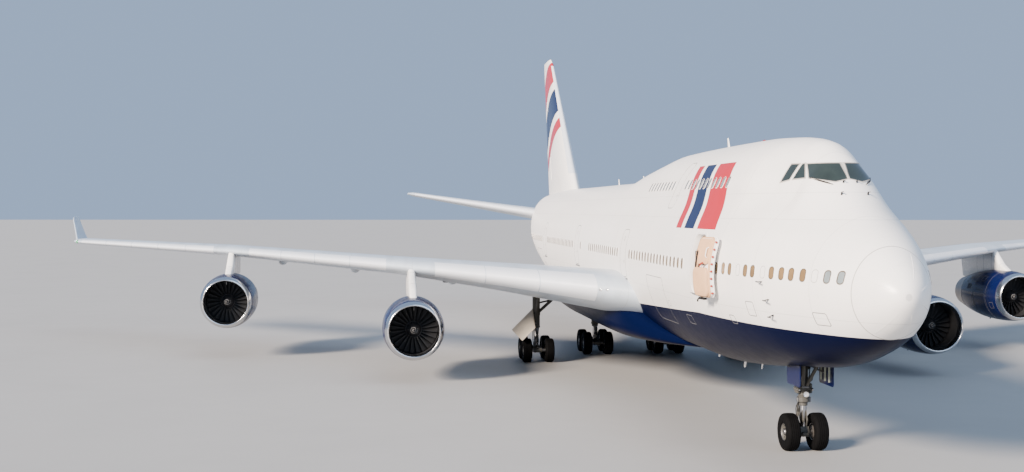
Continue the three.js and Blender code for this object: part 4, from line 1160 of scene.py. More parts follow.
def panel(shape, table, where, spans, shares, face, lift=0.009, slot=0, rim=None):
    """A plate on a lifting surface, its edges turned into the skin, on a wider rim if one is given."""
    if rim is not None:
        wide = (spans[0] - RIM_WIDTH, spans[1] + RIM_WIDTH)
        deep = (max(shares[0] - RIM_SHARE, 0.0), min(shares[1] + RIM_SHARE, 1.0))
        panel(shape, table, where, wide, deep, face, lift / 3, rim)
    span = np.linspace(*spans, 12)
    share = np.sort(np.append(SHARES[(SHARES > shares[0]) & (SHARES < shares[1])], shares))
    span = np.concatenate([span[:1], span, span[-1:]])
    share = np.concatenate([share[:1], share, share[-1:]])
    lifts = np.full((len(span), len(share)), lift)
    lifts[[0, -1], :] = BURIED
    lifts[:, [0, -1]] = BURIED
    grid = foil(table, where, span[:, None], share[None, :], np.full(lifts.shape, float(face)), lifts)
    shape.skin(grid, slot, wrap=False)


def edge_panel(shape, table, where, spans, above, below, lift=0.008, slot=0):
    """A plate bent round a leading edge, from a share of the chord above to one below."""
    span = np.linspace(*spans, 12)
    under = SHARES[SHARES < below][:-1]
    over = SHARES[SHARES < above][:-1]
    share = np.concatenate([[below, below], under, [0.0], over[::-1], [above, above]])
    face = np.concatenate([-np.ones(len(under) + 2), [0.0], np.ones(len(over) + 2)])
    lifts = np.full(len(share), lift)
    lifts[[0, -1]] = BURIED
    grid = foil(table, where, span[:, None], share[None, :], face[None, :], lifts[None, :])
    grid[:, len(under) + 2, 1] -= lift
    inward = foil(table, where, span[[0, -1], None], share[None, :], face[None, :], BURIED)
    inward[:, len(under) + 2, 1] -= BURIED
    shape.skin(np.concatenate([inward[:1], grid, inward[1:]]), slot, wrap=False)


def oval_cover(shape, table, where, span, share, face, slot):
    """A small oval access cover."""
    angle = circle(18)
    rings = []
    for size, lift in ((1.0, -0.01), (1.0, 0.004), (0.86, 0.006)):
        spans = span + np.cos(angle) * 0.24 * size
        rings.append(foil(table, where, spans, share + np.sin(angle) * 0.017 * size, face, lift))
    shape.skin(rings, slot, ends=(-1,))


# Moving surfaces: name, inner and outer end, share of the chord at the hinge
AILERONS = (("aileron_inboard", 12.55, 14.00, 0.80), ("aileron_outboard", 22.80, 29.70, 0.78))
ELEVATORS = (("elevator_inboard", 2.30, 5.90, 0.70), ("elevator_outboard", 5.98, 10.40, 0.70))
RUDDERS = (("rudder_lower", 9.85, 13.60, 0.70), ("rudder_upper", 13.68, 18.70, 0.70))
# Flap track fairings: distance from the middle, radius, length
TRACKS = ((6.10, 0.30, 5.6), (9.70, 0.29, 5.2), (14.70, 0.26, 4.6), (18.70, 0.24, 4.2))
UP = (0, 0, 1)


def spaced(start, end, count, gap=0.04):
    """Ends of panels that share a run evenly, with gaps between them."""
    marks = np.linspace(start, end, count + 1)
    return [(a + gap / 2, b - gap / 2) for a, b in zip(marks[:-1], marks[1:])]


def wing_panels(side, word):
    """Leading edge flaps, trailing edge flaps, spoilers and covers of one wing."""
    made = Shape()
    where = flat(side)
    for run in (*spaced(4.3, 10.9, 3), *spaced(13.1, 20.2, 4), *spaced(22.2, 30.8, 5)):
        edge_panel(made, WING, where, run, 0.075, 0.05, slot=1)
    for run in ((3.75, 11.5), (14.25, 22.4)):
        for part in spaced(*run, 2, 0.05):
            panel(made, WING, where, part, (0.80, 0.995), 1, rim=2)
            panel(made, WING, where, part, (0.72, 0.85), -1, rim=2)
            panel(made, WING, where, part, (0.86, 0.995), -1, rim=2)
    for run in (*spaced(6.0, 11.3, 2), *spaced(14.4, 22.0, 4)):
        panel(made, WING, where, run, (0.69, 0.79), 1, rim=2)
    panel(made, WING, where, (3.9, 5.75), (0.69, 0.715), -1, lift=0.004, slot=3)
    for span in np.arange(4.6, 30.0, 0.95):
        for share in (0.33, 0.5) if span < 22 else (0.42,):
            oval_cover(made, WING, where, span, share, -1, 2)
    make(f"wing_panels_{word}", made, [PANEL_GREY, SLAT, GAP, SHADE_AND_BLACK])


def track_fairings(side, word):
    """Pointed fairings over the flap tracks under one wing."""
    made = Shape()
    for span, radius, length in TRACKS:
        edge = foil(WING, flat(side), span, 1.0, 0)
        start = np.array([side * span, edge[1] + 1.1 - length, edge[2] - 0.42])
        share = np.concatenate([np.linspace(0, 0.3, 10), np.linspace(0.35, 1, 14)])
        reach = smooth([0, 0.4, 0.7, 1.0], [0.05, 0.7, 1.0, 1.0], np.sqrt(share / 0.45).clip(0, 1))
        reach = np.where(share > 0.45, smooth([0.45, 0.75, 1.0], [1.0, 0.62, 0.06], share), reach)
        profile = list(zip(share * length, reach * radius))
        rings = np.array(turned_rings(profile, start, (0, 1, 0.03), 28))
        rings[..., 2] += (rings[..., 2] - start[2]).clip(0, None) * 0.5
        made.skin(rings, ends=(0, -1))
    make(f"track_fairings_{word}", made, [WING_PAINT_WITH_PAINTED_SKY_TINT])


def wing_tips(side, word):
    """Winglet, lamps, static wicks and the jacking pad of one wing."""
    made = Shape()
    heights = np.linspace(WINGLET[0, 0], WINGLET[-1, 0], 26)
    fine = np.column_stack([heights] + [smooth(WINGLET[:, 0], WINGLET[:, k], heights) for k in range(1, 6)])
    fine[-3:, 1] += (0.05, 0.16, 0.34)
    fine[-2:, 5] *= (0.8, 0.5)
    winglet = foil_body(fine, leaning(side), 26)
    make(f"winglet_skin_{word}", winglet, [WING_PAINT_WITH_PAINTED_SKY_TINT], stands_for=[f"winglet_{word}"])
    tip = foil(WING, flat(side), 31.1, 0.05, 0)
    lamp_dome(made, tip - (0, 0.12, 0), (side * 0.5, -1, 0), 0.09, 1 if side == PORT else 2)
    wicks = Shape()
    for span in np.arange(23.2, 29.6, 1.3):
        foot = foil(WING, flat(side), span, 1.0, 0)
        rod(wicks, foot - (0, 0.02, 0), foot + (0, 0.16, 0), 0.008, 0, 6)
    make(f"static_wicks_{word}", wicks, [HOSE], f"aileron_outboard_{word}")
    pad = foil(WING, flat(side), 10.2, 0.42, 0)
    rod(made, pad - (0, 0, 0.2), pad - (0, 0, 0.62), 0.14, 0, 24)
    root = foil(WING, flat(side), 3.9, 0.0, 0)
    for drop in (0.0, 0.24):
        lamp_dome(made, root + (side * drop, 0.12 + drop * 0.86, 0.02), (side * -0.1, -1, 0), 0.11, 3)
    make(f"wing_lamps_{word}", made, [STEEL_IN_PAINTED_SHADE, RED_LAMP, GREEN_LAMP, CLEAR_LAMP])


def split_surfaces(body, table, where, up, surfaces, material, ending=""):
    """Takes the named surfaces out of a body; each rides on the part it is named after."""
    for name, inner, outer, share in surfaces:
        moving = split_off(body, f"{name}_skin{ending}", (table, where, up, inner, outer, share), material)
        carry(moving, name + ending, [name + ending])


def wings():
    """Wings with ailerons, panels, track fairings and tips."""
    for side, word in SIDES:
        where = flat(side)
        wing = build(f"wing_skin_{word}", foil_body(WING, where, 64), [WING_PAINT_WITH_PAINTED_SKY_TINT])
        split_surfaces(wing, WING, where, UP, AILERONS, PANEL_GREY, f"_{word}")
        carry(wing, "airframe", [f"wing_{word}"])
        wing_panels(side, word)
        track_fairings(side, word)
        wing_tips(side, word)


def tail():
    """Stabilisers with elevators, and the fin with its rudders."""
    for side, word in SIDES:
        where = flat(side)
        plane = build(f"stabiliser_skin_{word}", foil_body(STABILISER, where), [WING_PAINT_WITH_PAINTED_SKY_TINT])
        split_surfaces(plane, STABILISER, where, UP, ELEVATORS, PANEL_GREY, f"_{word}")
        carry(plane, "airframe", [f"stabiliser_{word}"])
        edge = Shape()
        edge_panel(edge, STABILISER, where, (1.9, 10.6), 0.06, 0.06)
        make(f"stabiliser_edge_{word}", edge, [SLAT])
    fin = build("fin_skin", foil_body(FIN, upright), [FIN_PAINT])
    split_surfaces(fin, FIN, upright, (1, 0, 0), RUDDERS, FIN_PAINT)
    carry(fin, "airframe", ["fin"])
    edge = Shape()
    edge_panel(edge, FIN, upright, (10.2, 18.8), 0.035, 0.035)
    make("fin_edge", edge, [SLAT])


# Wing-to-body fairing: station, half width, bottom, top
FAIRING = np.array([
    (17.60, 0.70, 2.17, 2.40),
    (19.00, 1.90, 2.12, 2.90),
    (20.60, 2.80, 2.05, 3.60),
    (22.20, 3.28, 1.98, 4.20),
    (24.00, 3.50, 1.94, 4.55),
    (28.00, 3.56, 1.92, 4.60),
    (34.00, 3.56, 1.92, 4.50),
    (38.00, 3.44, 1.98, 4.20),
    (41.50, 2.80, 2.08, 3.40),
    (43.60, 1.10, 2.16, 2.60),
])
SQUARENESS = 0.62


def fairing():
    """The fairing between wings and fuselage, with the body gear bays cut in it."""
    made = Shape()
    stations = np.linspace(FAIRING[0, 0], FAIRING[-1, 0], 90)
    half, low, high = (smooth(FAIRING[:, 0], FAIRING[:, k], stations) for k in range(1, 4))
    angle = circle(96)
    rings = []
    for s, h, a, b in zip(stations, half, low, high):
        across = h * squared(np.cos(angle), SQUARENESS)
        height = (a + b) / 2 + (b - a) / 2 * squared(np.sin(angle), SQUARENESS)
        rings.append(np.column_stack([across, np.full(len(angle), s), height]))
    made.skin(rings, ends=(0, -1))
    piece = build("belly_fairing", made, [PAINT])
    for side, _ in SIDES:
        carved(piece, body_bay_tool(side), "DIFFERENCE", PRIMER)
    carry(piece, "airframe", ["wing_body_fairing"])


# Engines: number, side, distance from the middle, station of the lip, height of the axis
ENGINES = (("1", PORT, 21.18, 33.10, 2.95), ("2", PORT, 11.94, 23.39, 2.37),
           ("3", STARBOARD, 11.94, 23.39, 2.37), ("4", STARBOARD, 21.18, 33.10, 2.95))
# Profiles: distance aft of the lip, and radius
LIP_OUTSIDE = np.array([(0.35, 1.05), (0.20, 1.056), (0.09, 1.075), (0.025, 1.105), (0.0, 1.135),
                        (0.02, 1.168), (0.08, 1.21), (0.25, 1.28)])
COWL_OUTSIDE = np.array([(0.25, 1.28), (0.6, 1.335), (1.2, 1.38), (1.9, 1.392), (2.6, 1.38), (3.5, 1.31),
                         (4.4, 1.18), (5.2, 1.01), (5.9, 0.86)])
COWL_INSIDE = np.array([(5.9, 0.845), (5.6, 0.87), (4.3, 1.06), (2.4, 1.12), (1.0, 1.10), (0.35, 1.05)])
SPINNER_SHAPE = np.array([(-0.62, 0.004), (-0.60, 0.035), (-0.50, 0.13), (-0.34, 0.25), (-0.16, 0.345),
                          (0.0, 0.36), (0.2, 0.36)])
MIXER = ((3.85, 0.66, 0.0), (4.1, 0.64, 0.03), (4.35, 0.62, 0.08), (4.6, 0.60, 0.13), (4.6, 0.585, 0.13),
         (4.3, 0.60, 0.06), (3.9, 0.62, 0.0))
MIXER_LOBES = 18
OUTLET_VANES = 44
TAIL_CONE = np.array([(3.8, 0.40), (4.3, 0.42), (4.8, 0.33), (5.3, 0.15), (5.58, 0.02)])
CASING = ((1.75, 1.09), (1.95, 1.09), (2.1, 0.80), (2.6, 0.76), (3.5, 0.70), (3.9, 0.64))
COWL_SIDES = 96
COWL_SEAMS = (0.32, 1.30, 2.75, 4.60)
FAN = {"station": 1.25, "radius": 1.07, "hub": 0.36, "blades": 24, "width": 0.33}
AFT = (0, 1, 0)


def along_curve(points, count):
    """Points spaced along a smooth curve through a table of points."""
    at = np.linspace(0, len(points) - 1, count)
    number = np.arange(len(points))
    return np.column_stack([smooth(number, points[:, k], at) for k in range(points.shape[1])])


def cowl_radius(distance):
    return smooth(COWL_OUTSIDE[:, 0], COWL_OUTSIDE[:, 1], distance)


def nacelle(name, side, span, lip, z):
    """The cowl: polished lip, painted outside with seams, and a dark liner inside."""
    centre = np.array([side * span, lip, z])
    rows = [(d, r, 1) for d, r in along_curve(LIP_OUTSIDE, 26)]
    stations = np.linspace(0.27, 5.9, 60)
    stations = [d for d in stations if all(abs(d - seam) > 0.03 for seam in COWL_SEAMS)]
    outside = [(d, cowl_radius(d), 0 if d < COWL_SEAMS[-1] else 3) for d in stations]
    for seam in COWL_SEAMS:
        paint = 0 if seam < COWL_SEAMS[-1] else 3
        edge = cowl_radius(seam)
        deep = edge - 0.012
        outside += [(seam - 0.02, edge, 4), (seam - 0.016, deep, 4), (seam + 0.004, deep, 4),
                    (seam + 0.008, edge, paint)]
    rows += sorted(outside)
    rows += [(d, r, 3 if d > 5.2 else 2) for d, r in along_curve(COWL_INSIDE, 30)[:-1]]
    made = Shape()
    profile = [(d, r) for d, r, _ in rows]
    turned(made, profile, centre, AFT, COWL_SIDES, [kind for *_, kind in rows], ends=(), around=True)
    make(f"nacelle_skin_{name}", made, [NAVY_PAINT, LIP, LINER, HOT_METAL, GAP],
         stands_for=[f"nacelle_{name}"])


def cowl_fittings(name, side, span, lip, z):
    """Outlined panels, louvres, latches and a drain mast on the cowl, and the probe inside its lip."""
    centre = np.array([side * span, lip, z])
    made = Shape()

    def on_cowl(distance, angle):
        def where(outline, lift):
            d = distance + outline[:, 0]
            radius = cowl_radius(d)
            return about_axis(centre, radius + lift, angle + outline[:, 1] / radius, d)
        return where

    def outlined(distance, angle, width, height, corner):
        inlay(made, opening(width, height, corner, 6), on_cowl(distance, angle),
              ((0.010, -0.004), (0.008, 0.003), (-0.008, 0.003), (-0.010, -0.004)), [0, 0, 0], fill=False)

    down = -math.pi / 2
    louvre = opening(0.05, 0.3, 0.02, 3)
    latch = opening(0.14, 0.07, 0.02, 3)
    for lean in (-1, 1):
        outlined(2.05, down + lean * 0.95, 1.32, 1.9, 0.05)
        outlined(3.7, down + lean * 1.0, 1.6, 1.7, 0.05)
        outlined(0.8, down + lean * 1.2, 0.34, 0.34, 0.05)
        outlined(2.0, down + lean * 2.3, 0.42, 0.3, 0.06)
        outlined(3.6, down + lean * 2.2, 0.5, 0.26, 0.06)
        for k in range(5):
            inlay(made, louvre, on_cowl(3.1 + k * 0.11, down + lean * 1.9),
                  ((0.012, -0.004), (0.0, 0.008), (-0.006, 0.002)), [1, 1, 0])
    raised = ((0.01, -0.004), (0.0, 0.008), (-0.01, 0.008))
    for distance in (1.5, 1.85, 2.2, 2.55, 3.1, 3.6, 4.1, 4.45):
        inlay(made, latch, on_cowl(distance, down), raised, [1, 1, 1])
    drain = centre + (0.0, 3.3, -cowl_radius(3.3))
    blade_antenna(made, drain[1], drain[2] + 0.02, -0.16, 0.16, 0.06, 1, drain[0])
    probe = centre + (0.0, 0.55, 1.03)
    rod(made, probe + (0, 0, 0.06), probe - (0, 0, 0.16), 0.016, 1, 10)
    make(f"cowl_fittings_{name}", made, [GAP, STEEL_IN_PAINTED_SHADE])


def fan(name, side, span, lip, z):
    """Twisted blades, and a spinner with two rings and a pale spiral."""
    centre = np.array([side * span, lip + FAN["station"], z])
    made = Shape()
    radii = np.linspace(FAN["hub"] - 0.04, FAN["radius"], 11)
    grown = (radii - radii[0]) / (radii[-1] - radii[0])
    twist = 0.35 + 0.72 * grown**0.8
    width = FAN["width"] * (0.85 + 0.25 * grown)
    thick = 0.034 - 0.020 * grown
    u, v = np.cos(circle(16)), np.sin(circle(16))
    for angle in circle(FAN["blades"]):
        rings = []
        for radius, t, w, deep in zip(radii, twist, width, thick):
            across = u * w / 2
            bulge = v * deep / 2 + 0.035 * (1 - u**2) * w / 0.3
            along = across * math.cos(t) - bulge * math.sin(t)
            around = (across * math.sin(t) + bulge * math.cos(t)) / radius
            rings.append(about_axis(centre, radius, angle + around, along))
        made.skin(rings, 0, ends=(0, -1))
    spinner = along_curve(SPINNER_SHAPE, 26)
    turned(made, spinner, centre, AFT, 48, 1)
    for d in (-0.15, 0.13):
        turned(made, [(d, 0.30), (d, 0.366), (d + 0.02, 0.366), (d + 0.02, 0.30)], centre, AFT, 48, 0)
    spiral(made, centre, spinner)
    make(f"fan_rotor_{name}", made, [BLADE, SPINNER, SPIRAL_GREY], f"fan_{name}",
         [f"fan_{name}"], sharp=40.0)


SPIRAL_TURNS = 1.75


def spiral(made, centre, spinner):
    """A ribbon that winds out over the spinner and gets wider."""
    share = np.linspace(0, 1, 90)
    d = np.interp(0.03 + 0.15 * share, spinner[:, 1], spinner[:, 0])
    radius = 0.034 + 0.15 * share
    turn = 2.0 + share * TURN * SPIRAL_TURNS
    half = (0.006 + 0.006 * share) * np.sin(np.clip((1 - share) * 8, 0, math.pi / 2))
    slope = np.gradient(radius, d)
    lean = np.hypot(1, slope)
    rings = []
    for offset, drop in ((-1, 0.006), (-1, 0), (1, 0), (1, 0.006)):
        reach = radius + offset * half * slope / lean - drop
        rings.append(about_axis(centre, reach, turn, d + offset * half / lean))
    made.skin(rings, 2, wrap=False)


def engine_core(name, side, span, lip, z):
    """Outlet vanes behind the fan, the core casing, the lobed mixer and the tail cone."""
    centre = np.array([side * span, lip, z])
    made = Shape()
    turned(made, CASING, centre, AFT, 64, [1, 1, 0, 0, 0], ends=(0,))
    for angle in circle(OUTLET_VANES):
        rings = []
        for radius in (0.42, 1.10):
            turn = angle + np.array([-0.012, 0.03, 0.012, -0.03]) / radius
            rings.append(about_axis(centre, radius, turn, (1.60, 1.73, 1.745, 1.61)))
        made.skin(rings, 3, ends=(0, -1))
    turn = circle(12 * MIXER_LOBES)
    wave = np.cos(turn * MIXER_LOBES)
    made.skin([about_axis(centre, base + swell * wave, turn, d) for d, base, swell in MIXER], 2)
    turned(made, along_curve(TAIL_CONE, 20), centre, AFT, 48, 2)
    # A dark ring closes the core's outlet between the mixer and the cone: painted shade
    turned(made, [(4.0, 0.66), (4.02, 0.38)], centre, AFT, 48, 1, ends=())
    make(f"engine_core_skin_{name}", made, [STEEL_IN_PAINTED_SHADE, SHADE_AND_BLACK, HOT_METAL, BLADE],
         stands_for=[f"engine_core_{name}"])


# Half width of a pylon at shares of its length
PYLON_WIDTH = ((0, 0.02), (0.004, 0.05), (0.012, 0.085), (0.03, 0.13), (0.1, 0.18), (0.22, 0.21),
               (0.62, 0.2), (1.0, 0.03))
PYLON_GROOVE = ((0.99, -0.006), (1.012, -0.005), (1.012, 0.005), (0.99, 0.006))


def pylon(name, side, span, lip, z):
    """The pylon, rounded in front, its top in the wing and its foot in the cowl."""
    front, middle, back = (foil(WING, flat(1), span, share, 0)[1:] for share in (0.03, 0.3, 0.66))
    start = lip + 0.9
    low = np.array([(start, z + 1.18), (lip + 2.0, z + 1.2), (lip + 5.2, z + 0.9), (lip + 6.6, z + 0.8),
                    tuple(back - (0, 0.1))])
    high = np.array([(start, z + 1.22), (lip + 2.0, z + 1.75), tuple(front), tuple(middle), tuple(back)])
    share = np.concatenate([[0, 0.004, 0.012, 0.03], np.linspace(0.05, 1, 46)])
    stations = start + share * (back[0] - lip - 0.9)
    bottom = np.interp(stations, low[:, 0], low[:, 1])
    top = np.interp(stations, high[:, 0], high[:, 1])
    half = smooth(*np.transpose(PYLON_WIDTH), share)
    angle = circle(32)
    rings = []
    for s, a, b, h in zip(stations, bottom, top, half):
        reach = np.maximum((b - a) / 2, 0.01)
        across = side * span + h * squared(np.cos(angle), 0.55)
        height = (a + b) / 2 + reach * squared(np.sin(angle), 0.8)
        rings.append(np.column_stack([across, np.full(len(angle), s), height]))
    made = Shape()
    made.skin(rings, 0, ends=(0, -1))
    for share in (0.2, 0.34, 0.48, 0.6):
        k = int(share * len(stations))
        ring = np.array(rings[k])
        middle = ring.mean(0)
        made.skin([middle + (ring - middle) * grow + (0, move, 0) for grow, move in PYLON_GROOVE], 1)
    make(f"pylon_skin_{name}", made, [PLAIN, GAP], stands_for=[f"pylon_{name}"])


# Landing gear; profiles of wheels hold the distance from the wheel's middle, and the radius
TYRE_RADIUS = 0.60
TYRE_SIDES = 96
TYRE = np.array([(-0.17, 0.275), (-0.20, 0.30), (-0.222, 0.37), (-0.228, 0.45), (-0.212, 0.53),
                 (-0.178, 0.577), (-0.14, 0.592)])
RIM = ((0.17, 0.276), (0.178, 0.268), (0.168, 0.255), (0.12, 0.235), (0.085, 0.19), (0.08, 0.15),
       (0.10, 0.115), (0.155, 0.105), (0.185, 0.085), (0.19, 0.02))
RIM_BACK = ((-0.17, 0.276), (-0.178, 0.268), (-0.165, 0.25), (-0.12, 0.235), (-0.10, 0.08))
BRAKE_PACK = ((-0.16, 0.09), (-0.16, 0.20), (-0.05, 0.21), (-0.05, 0.09))
WHEEL_BOLTS = 12
WHEEL_HOLES = 9
GROOVES = (-0.096, -0.034, 0.034, 0.096)
GROOVE = ((-0.012, 0.5995), (-0.009, 0.586), (0.009, 0.586), (0.012, 0.5995))
# Where the legs stand, and the spread of their wheels
NOSE = {"s": 7.82, "half_track": 0.46, "collar": 1.72, "brace": (6.75, 3.35)}
TRUCK = {"half_track": 0.56, "half_base": 0.735, "beam": 0.11}
WING_GEAR = {"x": 5.5, "s": 31.87}
BODY_GEAR = {"x": 1.92, "s": 34.94, "swivel": 1.55}


def tyre_profile():
    shoulder = along_curve(TYRE, 22)
    tread = [(groove + across, radius) for groove in GROOVES for across, radius in GROOVE]
    middle = [(across, radius - 0.004 * (across / 0.12) ** 2) for across, radius in tread]
    other = [(-across, radius) for across, radius in shoulder[::-1]]
    return [tuple(row) for row in shoulder] + middle + other


def wheel(shape, centre, out):
    """One tyre on its dished rim with bolts and a hub cap; out is 1 where the rim faces along x."""
    axis = (out, 0, 0)
    turned(shape, tyre_profile(), centre, axis, TYRE_SIDES, 0, ends=())
    turned(shape, RIM, centre, axis, 48, [2, 2, 1, 1, 1, 1, 2, 2, 2], ends=(-1,))
    turned(shape, RIM_BACK, centre, axis, 48, [2, 2, 1, 3], ends=())
    for angle in circle(WHEEL_BOLTS):
        bolt = centre + np.array([out * 0.07, 0.165 * math.cos(angle), 0.165 * math.sin(angle)])
        rod(shape, bolt, bolt + (out * 0.03, 0, 0), 0.014, 2, 6, 0.003)
    # Dark discs stand for the holes in the rim: painted shade
    for k in range(WHEEL_HOLES):
        angle = TURN * (k + 0.5) / WHEEL_HOLES
        hole = centre + np.array([out * 0.108, 0.212 * math.cos(angle), 0.212 * math.sin(angle)])
        turned(shape, [(0, 0.024), (0.006, 0.022), (0.006, 0.002)], hole, axis, 10, 4, ends=(-1,))
    valve = centre + np.array([out * 0.11, 0.0, 0.225])
    rod(shape, valve, valve + (out * 0.05, 0, 0), 0.008, 2, 6, 0.002)


def wheel_pair(name, x, s, half_track):
    """Two wheels on one axle, with a brake pack in each."""
    centre = np.array([x, s, TYRE_RADIUS])
    made = Shape()
    for out in (-1, 1):
        wheel(made, centre + (out * half_track, 0, 0), out)
        turned(made, BRAKE_PACK, centre + (out * half_track, 0, 0), (out, 0, 0), 32, 3)
    crossbar(made, centre, half_track + 0.1, 0.075, 2)
    make(f"{name}_tyres", made, [RUBBER_IN_PAINTED_SHADE, GEAR_PAINT_IN_PAINTED_SHADE, STEEL_IN_PAINTED_SHADE, BRAKE, SHADE_AND_BLACK], name, [name])


def crossbar(shape, middle, half, radius, slot=0, sides=24):
    """A rod across the aircraft that reaches half its length to each side."""
    rod(shape, np.subtract(middle, (half, 0, 0)), np.add(middle, (half, 0, 0)), radius, slot, sides)


def column(shape, profile, x, s):
    """A round upright leg; profile holds (height, radius)."""
    low = profile[0][0]
    turned(shape, [(z - low, radius) for z, radius in profile], (x, s, low), UP, 32)


def collar(shape, centre, radius, height, slot=0, sides=24):
    rod(shape, centre, np.add(centre, (0, 0, height)), radius, slot, sides, 0.012)


def links(shape, x, s, top, low, reach, half=0.09):
    """Torque links: two wedge-shaped arms that meet at an apex pin."""
    knee = (top + low) / 2
    for z in (top, low):
        for across in (-1, 1):
            run = [(x + across * half, s, z), (x + across * half * 0.8, s + reach * 0.55, (z + knee) / 2),
                   (x + across * 0.03, s + reach, knee)]
            pipe(shape, run, 0.026, 0, 8)
        rise = z - knee
        far = s + reach * 0.9
        web = [(s + reach * 0.12, z), (far, knee + rise * 0.1), (far, knee - rise * 0.06),
               (s + reach * 0.2, z - rise * 0.16)]
        plate(shape, web, x, 0.05, 0)
        crossbar(shape, (x, s + math.copysign(0.02, reach), z), half + 0.03, 0.035, 1, 12)
    crossbar(shape, (x, s + reach, knee), 0.07, 0.03, 1, 12)


# Slots of every leg: 0 paint and 1 steel, both darkened as painted shade, 2 hose, 3 polished strut
LEG_LOOKS = [GEAR_PAINT_IN_PAINTED_SHADE, STEEL_IN_PAINTED_SHADE, HOSE, CHROME]
TAXI_LAMP = ((0.0, 0.05), (0.07, 0.09), (0.1, 0.09), (0.09, 0.075), (0.075, 0.005))
NOSE_LAMP = ((0.0, 0.05), (0.07, 0.10), (0.11, 0.10), (0.10, 0.085), (0.08, 0.005))


def nose_gear_leg():
    """The fixed leg with its brace, steering cylinders, hoses and lamps."""
    made = Shape()
    s, low = NOSE["s"], NOSE["collar"]
    profile = [(low, 0.12), (low, 0.165), (low + 0.05, 0.172), (low + 0.06, 0.15), (1.98, 0.15),
               (2.0, 0.168), (2.1, 0.168), (2.12, 0.15), (2.9, 0.15), (2.92, 0.17), (3.1, 0.17),
               (3.12, 0.15), (3.89, 0.15)]
    column(made, profile, 0, s)
    crossbar(made, (0, s, 3.3), 0.42, 0.11)
    for side, _ in SIDES:
        rod(made, (side * 0.40, s, 3.3), (side * 0.47, s, 3.3), 0.13, 1, 24)
        rod(made, (side * 0.05, s - 0.12, 2.05), (side * 0.34, *NOSE["brace"]), 0.055, 0, 16)
        rod(made, (side * 0.16, s - 0.05, 2.6), (side * 0.34, s, 3.25), 0.045, 0, 16)
        pipe(made, [(side * 0.12, s - 0.12, 3.6), (side * 0.17, s - 0.1, 2.9), (side * 0.15, s - 0.13, 2.3),
                    (side * 0.19, s - 0.08, 1.9)], 0.016, 2, 8)
        hose = [(side * 0.1, s + 0.14, 3.6), (side * 0.13, s + 0.16, 2.7), (side * 0.1, s + 0.15, 1.9)]
        pipe(made, hose, 0.014, 2, 8)
        block(made, (side * 0.20 - 0.05, s - 0.14, 1.84), (side * 0.20 + 0.05, s + 0.14, 2.16), 0, 0.02)
        rod(made, (side * 0.22, s - 0.2, 1.97), (side * 0.22, s + 0.16, 1.97), 0.06, 0, 16)
        rod(made, (side * 0.22, s - 0.28, 1.97), (side * 0.22, s - 0.2, 1.97), 0.03, 3, 12)
        lamp = np.array([side * 0.13, s - 0.19, 2.32])
        turned(made, TAXI_LAMP, lamp + (0, 0.03, 0), (0, -1, 0), 24, [0, 0, 0, 4], ends=(0, -1))
    crossbar(made, (0, *NOSE["brace"]), 0.42, 0.055, 0, 20)
    crossbar(made, (0, s - 0.15, 2.05), 0.12, 0.05, 1, 16)
    block(made, (-0.2, s - 0.17, 1.93), (0.2, s + 0.17, 2.08), 0, 0.03)
    lamp = np.array([0.0, s - 0.17, 1.83])
    turned(made, NOSE_LAMP, lamp, (0, -1, 0), 28, [0, 0, 0, 4], ends=(0, -1))
    make("nose_gear_leg_detail", made, LEG_LOOKS + [CLEAR_LAMP],
         stands_for=["nose_gear_leg"])


def nose_gear_steering():
    """The part that steers: polished strut, collars, torque links and axle block."""
    made = Shape()
    s, top = NOSE["s"], NOSE["collar"] - SEAM
    rod(made, (0, s, 0.66), (0, s, top - 0.1), 0.10, 3, 32)
    collar(made, (0, s, top - 0.16), 0.2, 0.16)
    collar(made, (0, s, 1.44), 0.135, 0.12)
    links(made, 0, s + 0.1, 1.58, 0.76, 0.36)
    body = [(-0.16, 0.46), (0.16, 0.46), (0.17, 0.62), (0.11, 0.78), (-0.11, 0.78), (-0.17, 0.62)]
    plate(made, [(s + a, z) for a, z in body], 0, 0.3, 0)
    crossbar(made, (0, s, TYRE_RADIUS), 0.21, 0.115)
    block(made, (-0.11, s - 0.26, 0.5), (0.11, s - 0.12, 0.62), 0, 0.03)
    crossbar(made, (0, s - 0.22, 0.56), 0.1, 0.035, 1, 16)
    for side, _ in SIDES:
        rod(made, (side * 0.19, s - 0.05, 1.56), (side * 0.19, s - 0.05, top), 0.045, 1, 16)
        plate(made, [(s - 0.24, 1.0), (s - 0.13, 0.78), (s - 0.09, 1.3)], side * 0.06, 0.03, 0)
        pipe(made, [(side * 0.1, s + 0.1, 1.6), (side * 0.17, s + 0.2, 1.3), (side * 0.15, s + 0.16, 0.95),
                    (side * 0.12, s + 0.1, 0.75)], 0.014, 2, 8)
    node = "nose_gear_steering"
    make(f"{node}_detail", made, LEG_LOOKS, node, [node])


def belly_of(x, s):
    """Height of the fuselage's underside at a distance from the middle."""
    angle = np.linspace(-math.pi / 2, 0, 400)
    points = hull(s, angle)
    return np.interp(abs(x), points[:, 0], points[:, 2])


NOSE_DOOR_X = 0.53


